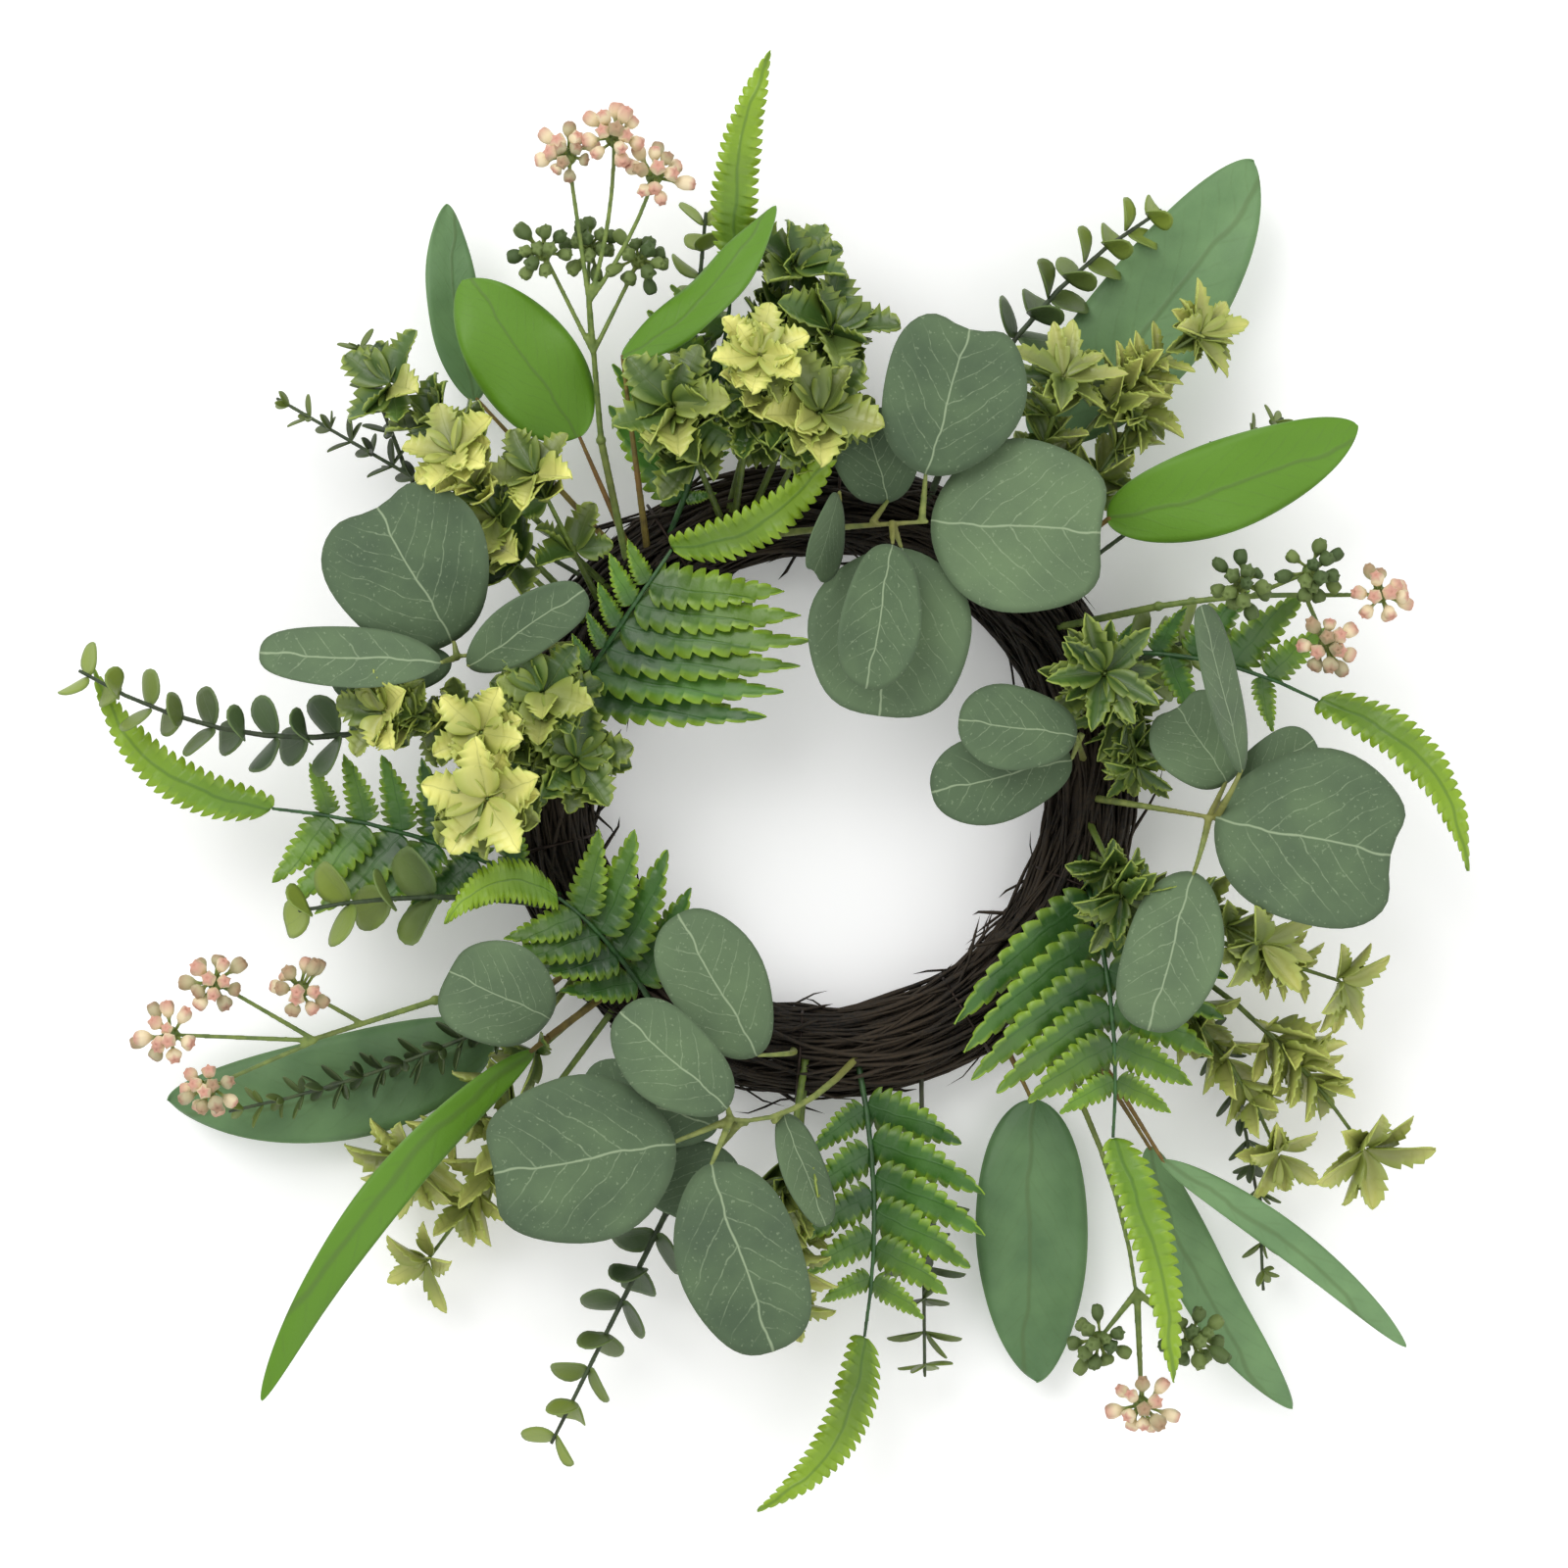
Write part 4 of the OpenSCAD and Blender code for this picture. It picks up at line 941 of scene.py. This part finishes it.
@dataclass
class Fern(LeafSprays):
    """Fronds of toothed leaflets that sweep towards the tip, with one long end leaflet each."""

    node: str = "fern_leaflets"
    ending: str = "toothed"
    slot: str = "fern_leaf"
    finish: LeafFinish = FERN_PLASTIC
    first_seed: int = 300
    thickness: float = 0.4 * MM
    groups: tuple[str, ...] = ("top", "inner_left", "left", "bottom_left", "right", "bottom", "top_right")
    side_growth: tuple[float, float] = (1.45, 1.2)
    end_growth: tuple[float, float] = (1.15, 1.0)
    end_half_over: float = 6 * MM
    young_from: float = -5 * MM
    young_to: float = 45 * MM
    side: StripShape = StripShape(teeth=10, base_power=0.2, tip_power=0.8, tooth_depth=0.33,
                                  tooth_fall=(1.0, 0.5, 0.12, 0.0), base_share=0.3, fold=0.2, curl=0.15,
                                  sweep=0.1, ripple=0.12)
    end: StripShape = StripShape(teeth=22, base_power=0.3, tip_power=0.75, tooth_depth=0.33,
                                 tooth_fall=(1.0, 0.5, 0.12, 0.0), base_share=0.2, fold=0.25, curl=0.1,
                                 ripple=0.15, ripples=4)

    def surface(self, group: str, blades: Blades, rng: np.random.Generator) -> Surface:
        """Builds a frond's leaflets.

        The end leaflet is the one that is longest when a wide leaflet's distance from the
        frond's centre counts twice on top of its length.

        Args:
            group: The group's name.
            blades: Its leaves' places.
            rng: The source of their differences.
        Returns:
            The leaves as one surface.
        """
        centre = blades.base.mean(0)
        away = np.linalg.norm(blades.base - centre, axis=1)
        score = blades.length + 2 * away * (blades.half > self.end_half_over)
        last = np.arange(len(score)) == score.argmax()
        ahead = unit(blades.base[last][0] - centre)
        lean = np.sign(blades.side @ ahead)
        side = self.side.surface(blades.chosen(~last).grown(*self.side_growth), rng, lean[~last])
        end = self.end.surface(blades.chosen(last).grown(*self.end_growth), rng, lean[last])
        side.values["root"] = 0.55 * (1 - smooth_step(side.flat[:, 0], 0.05, 0.5))
        end.values["young"] = 0.35 + 0.5 * smooth_step(end.flat[:, 0], 0.1, 0.9)
        reach = (side.points - centre) @ ahead
        side.values["young"] = 0.4 * smooth_step(reach, self.young_from, self.young_to)
        return joined([side, end])


@dataclass(frozen=True)
class HollyKind:
    """A kind of holly leaf: its shape, its growth over the plain leaf, and the added leaves' sizes."""

    shape: StripShape
    growth: tuple[float, float]
    twin: float
    skirt: float


@dataclass
class Holly(LeafSprays):
    """Small leaves with spiny tips, creamy yellow on top of the full sprays, olive on the slim ones."""

    node: str = "holly_leaves"
    ending: str = "spiny"
    slot: str = "holly_leaf"
    finish: LeafFinish = HOLLY_PLASTIC
    first_seed: int = 400
    thickness: float = 0.4 * MM
    groups: tuple[str, ...] = ("top_left", "top", "left", "top_right", "right", "bottom_right",
                               "bottom_left", "bottom")
    creamy: tuple[str, ...] = ("top_left", "top", "left")
    bushy: tuple[str, ...] = ("top", "left", "right", "top_right")
    drop: float = 5 * MM
    swing: tuple[float, float] = (25, 70)
    cream_depth: tuple[float, float] = (24 * MM, 7 * MM)
    pale_reach: tuple[float, float] = (105 * MM, 170 * MM)
    full: HollyKind = HollyKind(
        StripShape(teeth=7, base_power=0.7, tip_power=0.55, tooth_depth=0.34, tooth_start=0.56,
                   tooth_fall=(1.0, 0.8, 0.5, 0.0), base_share=0.14, fold=0.5, curl=-0.25,
                   ripple=0.18, ripples=1.0), (1.35, 1.1), 0.8, 0.95)
    slim: HollyKind = HollyKind(
        StripShape(teeth=6, base_power=0.75, tip_power=0.8, tooth_depth=0.26, tooth_start=0.49,
                   tooth_fall=(1.0, 0.8, 0.5, 0.0), base_share=0.14, fold=0.65, curl=-0.35,
                   sweep=0.05, ripple=0.15, ripples=0.8), (0.9, 1.2), 0.85, 0.85)

    def surface(self, group: str, blades: Blades, rng: np.random.Generator) -> Surface:
        """Builds a group's leaves. Of a bushy group, the lower half is darker.

        Args:
            group: The group's name.
            blades: Its leaves' places.
            rng: The source of their differences.
        Returns:
            The leaves as one surface.
        """
        kind = self.full if group in self.creamy else self.slim
        blades = blades.grown(*kind.growth).with_twins(rng, kind.twin, self.swing)
        if group in self.bushy:
            blades = blades.with_skirt(rng, kind.skirt, self.drop)
        surface = kind.shape.surface(blades, rng)
        if group in self.creamy:
            top = blades.tip[:, 2].max()
            young = smooth_step(blades.tip[:, 2], top - self.cream_depth[0], top - self.cream_depth[1])
        else:
            young = 0.6 * smooth_step(np.linalg.norm(blades.tip[:, :2], axis=1), *self.pale_reach)
        if group in self.bushy:
            young = young * np.where(np.arange(len(young)) < len(young) // 2, 1, 0.4)
        young = np.clip(young + rng.uniform(-0.12, 0.12, len(young)), 0, 1)
        young = np.repeat(young, len(surface.points) // len(young))
        tips = smooth_step(surface.flat[:, 0], 0.3, 1.0)
        surface.values["young"] = young * (0.7 + 0.3 * tips)
        surface.values["root"] = (1 - tips) * (0.55 - 0.4 * young)
        return surface


@dataclass
class Penny(LeafSprays):
    """Sprigs of small round leaves in pairs, lime at their ends."""

    node: str = "penny_leaves"
    ending: str = "shaped"
    slot: str = "penny_leaf"
    finish: LeafFinish = PENNY_PLASTIC
    first_seed: int = 500
    thickness: float = 0.45 * MM
    groups: tuple[str, ...] = ("left", "lower_left", "top_right", "bottom", "top", "right")
    growth: tuple[float, float] = (1.25, 1.2)
    young_depth: float = 60 * MM
    shape: RoundShape = RoundShape(spokes=18, rings=3, tip_power=0.42, notch=0.0, cup=0.35, wave=0.06)

    def surface(self, group: str, blades: Blades, rng: np.random.Generator) -> Surface:
        """Builds a sprig's leaves, young at its end.

        Args:
            group: The group's name.
            blades: Its leaves' places.
            rng: The source of their differences.
        Returns:
            The leaves as one surface.
        """
        surface = self.shape.surface(blades.grown(*self.growth), rng)
        surface.values["young"] = 0.85 * outermost(surface, self.young_depth)
        return surface


@dataclass
class Box(LeafSprays):
    """Sprigs of small pointed leaves in pairs."""

    node: str = "box_leaves"
    ending: str = "shaped"
    slot: str = "box_leaf"
    finish: LeafFinish = BOX_PLASTIC
    first_seed: int = 600
    thickness: float = 0.45 * MM
    groups: tuple[str, ...] = ("top_left", "top_right", "right", "bottom_left", "bottom")
    growth: tuple[float, float] = (1.15, 1.05)
    twin: float = 0.8
    swing: tuple[float, float] = (30, 80)
    young_depth: float = 30 * MM
    shape: StripShape = StripShape(rows=9, columns=3, tip_power=0.6, base_share=0.3, fold=0.35)

    def surface(self, group: str, blades: Blades, rng: np.random.Generator) -> Surface:
        """Builds a sprig's leaves, young at its end.

        Args:
            group: The group's name.
            blades: Its leaves' places.
            rng: The source of their differences.
        Returns:
            The leaves as one surface.
        """
        surface = self.shape.surface(blades.grown(*self.growth).with_twins(rng, self.twin, self.swing), rng)
        surface.values["young"] = 0.6 * outermost(surface, self.young_depth)
        return surface


@dataclass
class Buds:
    """Heads of small buds, each a stalk that swells to a five-lobed mouth."""

    groups: tuple[str, ...] = ("top", "right", "left", "bottom")
    green_heads: dict[str, tuple[tuple[float, float], ...]] = field(default_factory=lambda: {
        "top": ((-84, 160), (-70, 162), (-55, 158)),
        "right": ((128, 59), (149, 63)),
        "left": (),
        "bottom": ((86, -172), (115, -172)),
    })
    pink_heads: dict[str, tuple[tuple[float, float], ...]] = field(default_factory=lambda: {
        "top": ((-76, 188), (-62, 193), (-50, 182)),
        "right": ((154, 41), (170, 56)),
        "left": ((-184, -62), (-198, -78), (-186, -94), (-158, -64)),
        "bottom": ((99, -192),),
    })
    sides: int = 10
    swelling: float = 1.2
    first_seed: int = 700

    def profile(self) -> tuple[Array, Array]:
        """Returns the bud's outline: shares of its length, and radii as shares of its greatest radius."""
        share = np.array([0, 0, 0.3, 0.42, 0.52, 0.64, 0.76, 0.87, 0.95, 1.0, 0.97, 0.9])
        radius = np.array([0, 0.24, 0.24, 0.42, 0.8, 1.0, 1.0, 0.86, 0.74, 0.52, 0.22, 0])
        return share, radius

    def axes(self, node: str) -> tuple[Array, Array, Array]:
        """Reads the buds of a node.

        A bud's axis is the direction in which its points spread most, turned to its thick end.

        Args:
            node: The node's name.
        Returns:
            Their stalk ends, axis vectors and greatest radii.
        """
        rows = []
        for points, _ in islands(node):
            centre = points.mean(0)
            axis = np.linalg.eigh(np.cov((points - centre).T))[1][:, 2]
            reach = (points - centre) @ axis
            spread = np.linalg.norm(points - centre - reach[:, None] * axis, axis=1)
            if spread[reach > np.median(reach)].mean() < spread[reach <= np.median(reach)].mean():
                axis, reach = -axis, -reach
            rows.append(np.concatenate([centre + axis * reach.min(), axis * (reach.max() - reach.min()),
                                        [spread.max()]]))
        table = np.array(rows)
        return table[:, :3], table[:, 3:6], table[:, 6]

    def surface(self, node: str, group: str, rng: np.random.Generator) -> Surface:
        """Builds a node's buds.

        A point stands on the axis at its share of the length, and off it by the profile's
        radius times one plus a lobe that is the cosine of five turns, strongest at the mouth.

        Args:
            node: The node with the plain buds.
            group: Its group's name.
            rng: The source of their differences.
        Returns:
            The buds as one surface.
        """
        start, axis, radius = self.axes(node)
        count = len(radius)
        reach = np.linalg.norm(axis, axis=1, keepdims=True)
        axis = (unit(axis) + rng.normal(0, 0.16, axis.shape)) * reach * rng.uniform(0.8, 1.08, (count, 1))
        share, profile = self.profile()
        angle = np.linspace(0, TURN, self.sides, endpoint=False)
        ahead = unit(axis)
        helper = np.where(np.abs(ahead[:, 2:]) > 0.9, [[1.0, 0, 0]], [[0, 0, 1.0]])
        first = unit(np.cross(ahead, helper))
        second = np.cross(ahead, first)
        lobes = 1 + 0.26 * np.cos(5 * angle)[None] * smooth_step(share, 0.5, 0.95)[:, None]
        size = rng.uniform(0.85, 1.12, (count, 1, 1))
        r = self.swelling * radius[:, None, None] * profile[None, :, None] * lobes[None] * size
        turn = angle[None, None] + rng.uniform(0, TURN, (count, 1, 1))
        points = (start[:, None, None] + axis[:, None, None] * share[None, :, None, None]
                  + first[:, None, None] * (r * np.cos(turn))[..., None]
                  + second[:, None, None] * (r * np.sin(turn))[..., None])
        heads = np.array(self.pink_heads[group] + self.green_heads[group], float) * MM
        nearest = np.linalg.norm((start + axis / 2)[:, None, :2] - heads[None], axis=2).argmin(1)
        pink = (nearest < len(self.pink_heads[group])) * (1 - 0.45 * (rng.uniform(0, 1, count) < 0.25))
        rim = np.broadcast_to(share[None, :, None], r.shape)
        order = np.maximum.accumulate(rim, axis=1)
        tone = np.broadcast_to(rng.uniform(0, 1, (count, 1, 1)), r.shape)
        return Surface(points.reshape(-1, 3), grid_quads(len(share), self.sides, count, closed=True),
                       np.stack([rim, rim], -1).reshape(-1, 2),
                       {"rim": order.ravel(), "tone": tone.ravel(),
                        "young": np.repeat(pink, len(share) * self.sides)})

    def build(self) -> None:
        """Builds each group's buds."""
        material = BudFinish().material()
        for seed, group in enumerate(self.groups, self.first_seed):
            node = f"buds_{group}"
            surface = self.surface(node, group, np.random.default_rng(seed))
            add_piece(f"{node}_lobed", surface, node, material)


@dataclass
class TwigRing:
    """Thin twigs wound round a core of thicker ones, with loose ends that stand off the ring."""

    node: str = "twig_bundle"
    core: int = 70
    core_thick: tuple[float, float] = (1.3 * MM, 2.1 * MM)
    twigs: int = 640
    rows: int = 28
    sides: int = 4
    thick: tuple[float, float] = (0.3 * MM, 0.85 * MM)
    loose_share: float = 0.45
    loose_length: tuple[float, float] = (2, 12)
    seed: int = 11

    def build(self) -> None:
        """Builds the twigs and dresses the binding wire.

        A twig's middle runs along the ring by an angle, at a distance from the bundle's own
        middle that wanders a little, and turns slowly about it. A loose end bends away.
        """
        low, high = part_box(self.node)
        bundle = (high.z - low.z) / 2
        outer = (high.x - low.x + high.y - low.y) / 4
        ring = outer - bundle
        rng = np.random.default_rng(self.seed)
        share = np.linspace(0, 1, self.rows)[None]
        shape = (self.twigs, 1)
        start = rng.uniform(0, TURN, shape)
        run = rng.uniform(0.9, 2.4, shape) * rng.choice([-1, 1], shape)
        angle = start + run * share
        inner = np.arange(self.twigs)[:, None] < self.core
        depth = bundle * np.where(inner, rng.uniform(0.15, 0.72, shape),
                                  0.94 * rng.uniform(0.35, 1, shape) ** 0.35)
        around = rng.uniform(0, TURN, shape) + rng.normal(0, 1.5, shape) * share
        wander = 0.9 * MM * np.sin(share * rng.uniform(8, 26, shape) + rng.uniform(0, TURN, shape))
        ends = (rng.uniform(0, 1, shape) < self.loose_share) & ~inner
        loose = ends * rng.uniform(*self.loose_length, shape) * MM
        away = depth + wander + loose * smooth_step(share, 0.86, 1.0)
        radius = ring + away * np.cos(around)
        height = np.clip(bundle + away * np.sin(around), 0.8 * MM, None)
        middle = np.stack([radius * np.cos(angle), radius * np.sin(angle), height], -1)
        forward = unit(np.gradient(middle, axis=1))
        across = unit(np.cross(forward, [0.0, 0.0, 1.0]))
        over = np.cross(across, forward)
        turn = np.linspace(0, TURN, self.sides, endpoint=False)
        knots = 1 + 0.18 * np.sin(share * rng.uniform(20, 60, shape) + rng.uniform(0, TURN, shape))
        taper = np.sqrt(np.clip(1 - (2 * share - 1) ** 8, 0, 1))
        thick = np.where(inner, rng.uniform(*self.core_thick, shape), rng.uniform(*self.thick, shape))
        r = (thick * knots * taper)[..., None, None]
        points = (middle[:, :, None] + across[:, :, None] * r * np.cos(turn)[:, None]
                  + over[:, :, None] * r * np.sin(turn)[:, None])
        quads = grid_quads(self.rows, self.sides, self.twigs, closed=True)[:, ::-1]
        flat = np.zeros((points.size // 3, 2))
        add_piece("wound_twigs", Surface(points.reshape(-1, 3), quads, flat), self.node,
                  TWIG_BARK.material())
        wire = frame["nodes"]["binding_wire"]
        wire.data.materials.clear()
        wire.data.materials.append(IRON_WIRE.material())


@dataclass
class Stems:
    """Round stems and branches, blended where they fork."""

    grain: float = 0.45 * MM
    bend_reach: float = 2.4 * MM
    knot_radius: float = 1.7 * MM
    knot_rings: int = 9
    knot_sides: int = 12
    rows: tuple[tuple[str, str, BarkFinish], ...] = (
        ("silver_dollar_stems", "silver_dollar_stem", SILVER_STEM),
        ("willow_stems", "willow_stem", WILLOW_STEM),
        ("willow_stem_right", "willow_stem", WILLOW_STEM),
        ("willow_stem_lower_left", "willow_stem", WILLOW_STEM),
        ("fern_stalks", "fern_stalk", FERN_STEM),
        ("holly_stems", "holly_stem", HOLLY_STEM),
        ("penny_stems", "penny_stem", PENNY_STEM),
        ("penny_stem_left", "penny_stem", PENNY_STEM),
        ("penny_stem_bottom", "penny_stem", PENNY_STEM),
        ("box_stems", "box_stem", BOX_STEM),
        ("bud_stems", "bud_stem", BUD_STEM),
        ("bud_stem_top", "bud_stem", BUD_STEM),
        ("bud_stem_right", "bud_stem", BUD_STEM),
        ("bud_stem_left", "bud_stem", BUD_STEM),
    )

    def knot(self, centre: Array) -> Surface:
        """Makes a small ball over the place where a stem bends, so that it shows no gap.

        Args:
            centre: The ball's centre.
        Returns:
            The ball.
        """
        tilt, turn = np.meshgrid(np.linspace(0, math.pi, self.knot_rings),
                                 np.linspace(0, TURN, self.knot_sides, endpoint=False), indexing="ij")
        ball = np.stack([np.sin(tilt) * np.cos(turn), np.sin(tilt) * np.sin(turn), np.cos(tilt)], -1)
        return Surface(centre + self.knot_radius * ball.reshape(-1, 3),
                       grid_quads(self.knot_rings, self.knot_sides, 1, closed=True),
                       np.zeros((ball.size // 3, 2)))

    def build(self) -> None:
        """Remeshes each node's stems finely and smooths their forks."""
        made = {finish: finish.material() for finish in dict.fromkeys(row[2] for row in self.rows)}
        for node, slot, finish in self.rows:
            points, triangles = welded(node)
            faces = triangles.tolist()
            for joint in frame["joints"]:
                if joint["child"] == body_of(node):
                    bend = np.array(joint["pos_m"])
                    root = points[np.linalg.norm(points - bend, axis=1) < self.bend_reach].mean(0)
                    knot = self.knot(root)
                    faces += (knot.quads + len(points)).tolist()
                    points = np.concatenate([points, knot.points])
            mesh = bpy.data.meshes.new(f"{node}_round")
            mesh.from_pydata(points.tolist(), [], faces)
            piece = bpy.data.objects.new(f"{node}_round", mesh)
            finish_piece(piece, node, made[finish])
            remesh = piece.modifiers.new("blend", "REMESH")
            remesh.mode = "VOXEL"
            remesh.voxel_size = self.grain
            remesh.use_smooth_shade = True
            smooth = piece.modifiers.new("round", "SMOOTH")
            smooth.factor = 0.5
            smooth.iterations = 3


# ---------------------------------------------------------------- studio

@dataclass
class Studio:
    """A pale floor, soft light and the camera that looks straight down."""

    frame_width: float = 480 * MM
    frame_centre: tuple[float, float] = (-10.8 * MM, -1.5 * MM)
    camera_height: float = 1.62
    leaf_height: float = 45 * MM
    lamps: tuple[tuple[str, float, float, tuple[float, float, float]], ...] = (
        ("key", 16, 1.2, (-0.7, 0.9, 1.5)),
        ("fill", 7, 1.6, (1.0, -0.6, 1.4)),
    )

    def build(self) -> None:
        """Builds the floor, the lights, the world and the camera."""
        self.floor()
        self.lights()
        self.camera()

    def floor(self) -> None:
        """Lays a large matt floor under the ring."""
        bpy.ops.mesh.primitive_plane_add(size=12, location=(0, 0, -0.2 * MM))
        floor = bpy.context.object
        floor.name = "floor"
        material, tree = new_material("matt_white_card")
        shader = add(tree, "BsdfPrincipled", {"Base Color": linear("#fafafa"), "Roughness": 0.9,
                                              "Emission Color": (1, 1, 1, 1), "Emission Strength": 0.16})
        add(tree, "OutputMaterial", {0: shader})
        floor.data.materials.append(material)

    def lights(self) -> None:
        """Sets a bright even world and two large soft lamps."""
        world = bpy.data.worlds.new("soft_white")
        bpy.context.scene.world = world
        world.use_nodes = True
        world.node_tree.nodes.clear()
        back = add(world.node_tree, "Background", {0: (1, 1, 1, 1), 1: 0.75})
        add(world.node_tree, "OutputWorld", {0: back})
        for name, power, size, spot in self.lamps:
            lamp = bpy.data.lights.new(name, "AREA")
            lamp.energy = power
            lamp.size = size
            stand = bpy.data.objects.new(name, lamp)
            stand.location = spot
            aim = np.array(spot)
            tilt = math.acos(aim[2] / np.linalg.norm(aim))
            stand.rotation_euler = (tilt, 0, math.atan2(aim[1], aim[0]) + math.pi / 2)
            bpy.context.scene.collection.objects.link(stand)
        bpy.context.scene.view_settings.view_transform = "Standard"

    def camera(self) -> None:
        """Hangs the camera over the ring, with the ring's +Y side at the top of the view."""
        lens = bpy.data.cameras.new("camera")
        lens.angle = 2 * math.atan(self.frame_width / 2 / (self.camera_height - self.leaf_height))
        camera = bpy.data.objects.new("camera", lens)
        camera.location = (*self.frame_centre, self.camera_height)
        bpy.context.scene.collection.objects.link(camera)
        bpy.context.scene.camera = camera


def main() -> None:
    """Builds the ring, its sprays and the studio."""
    logging.basicConfig(level=logging.INFO, format="%(message)s")
    for part in (TwigRing, Stems, SilverDollar, Willow, Fern, Holly, Penny, Box, Buds, Studio):
        part().build()
    bpy.context.view_layer.update()


if __name__ == "__main__":
    main()
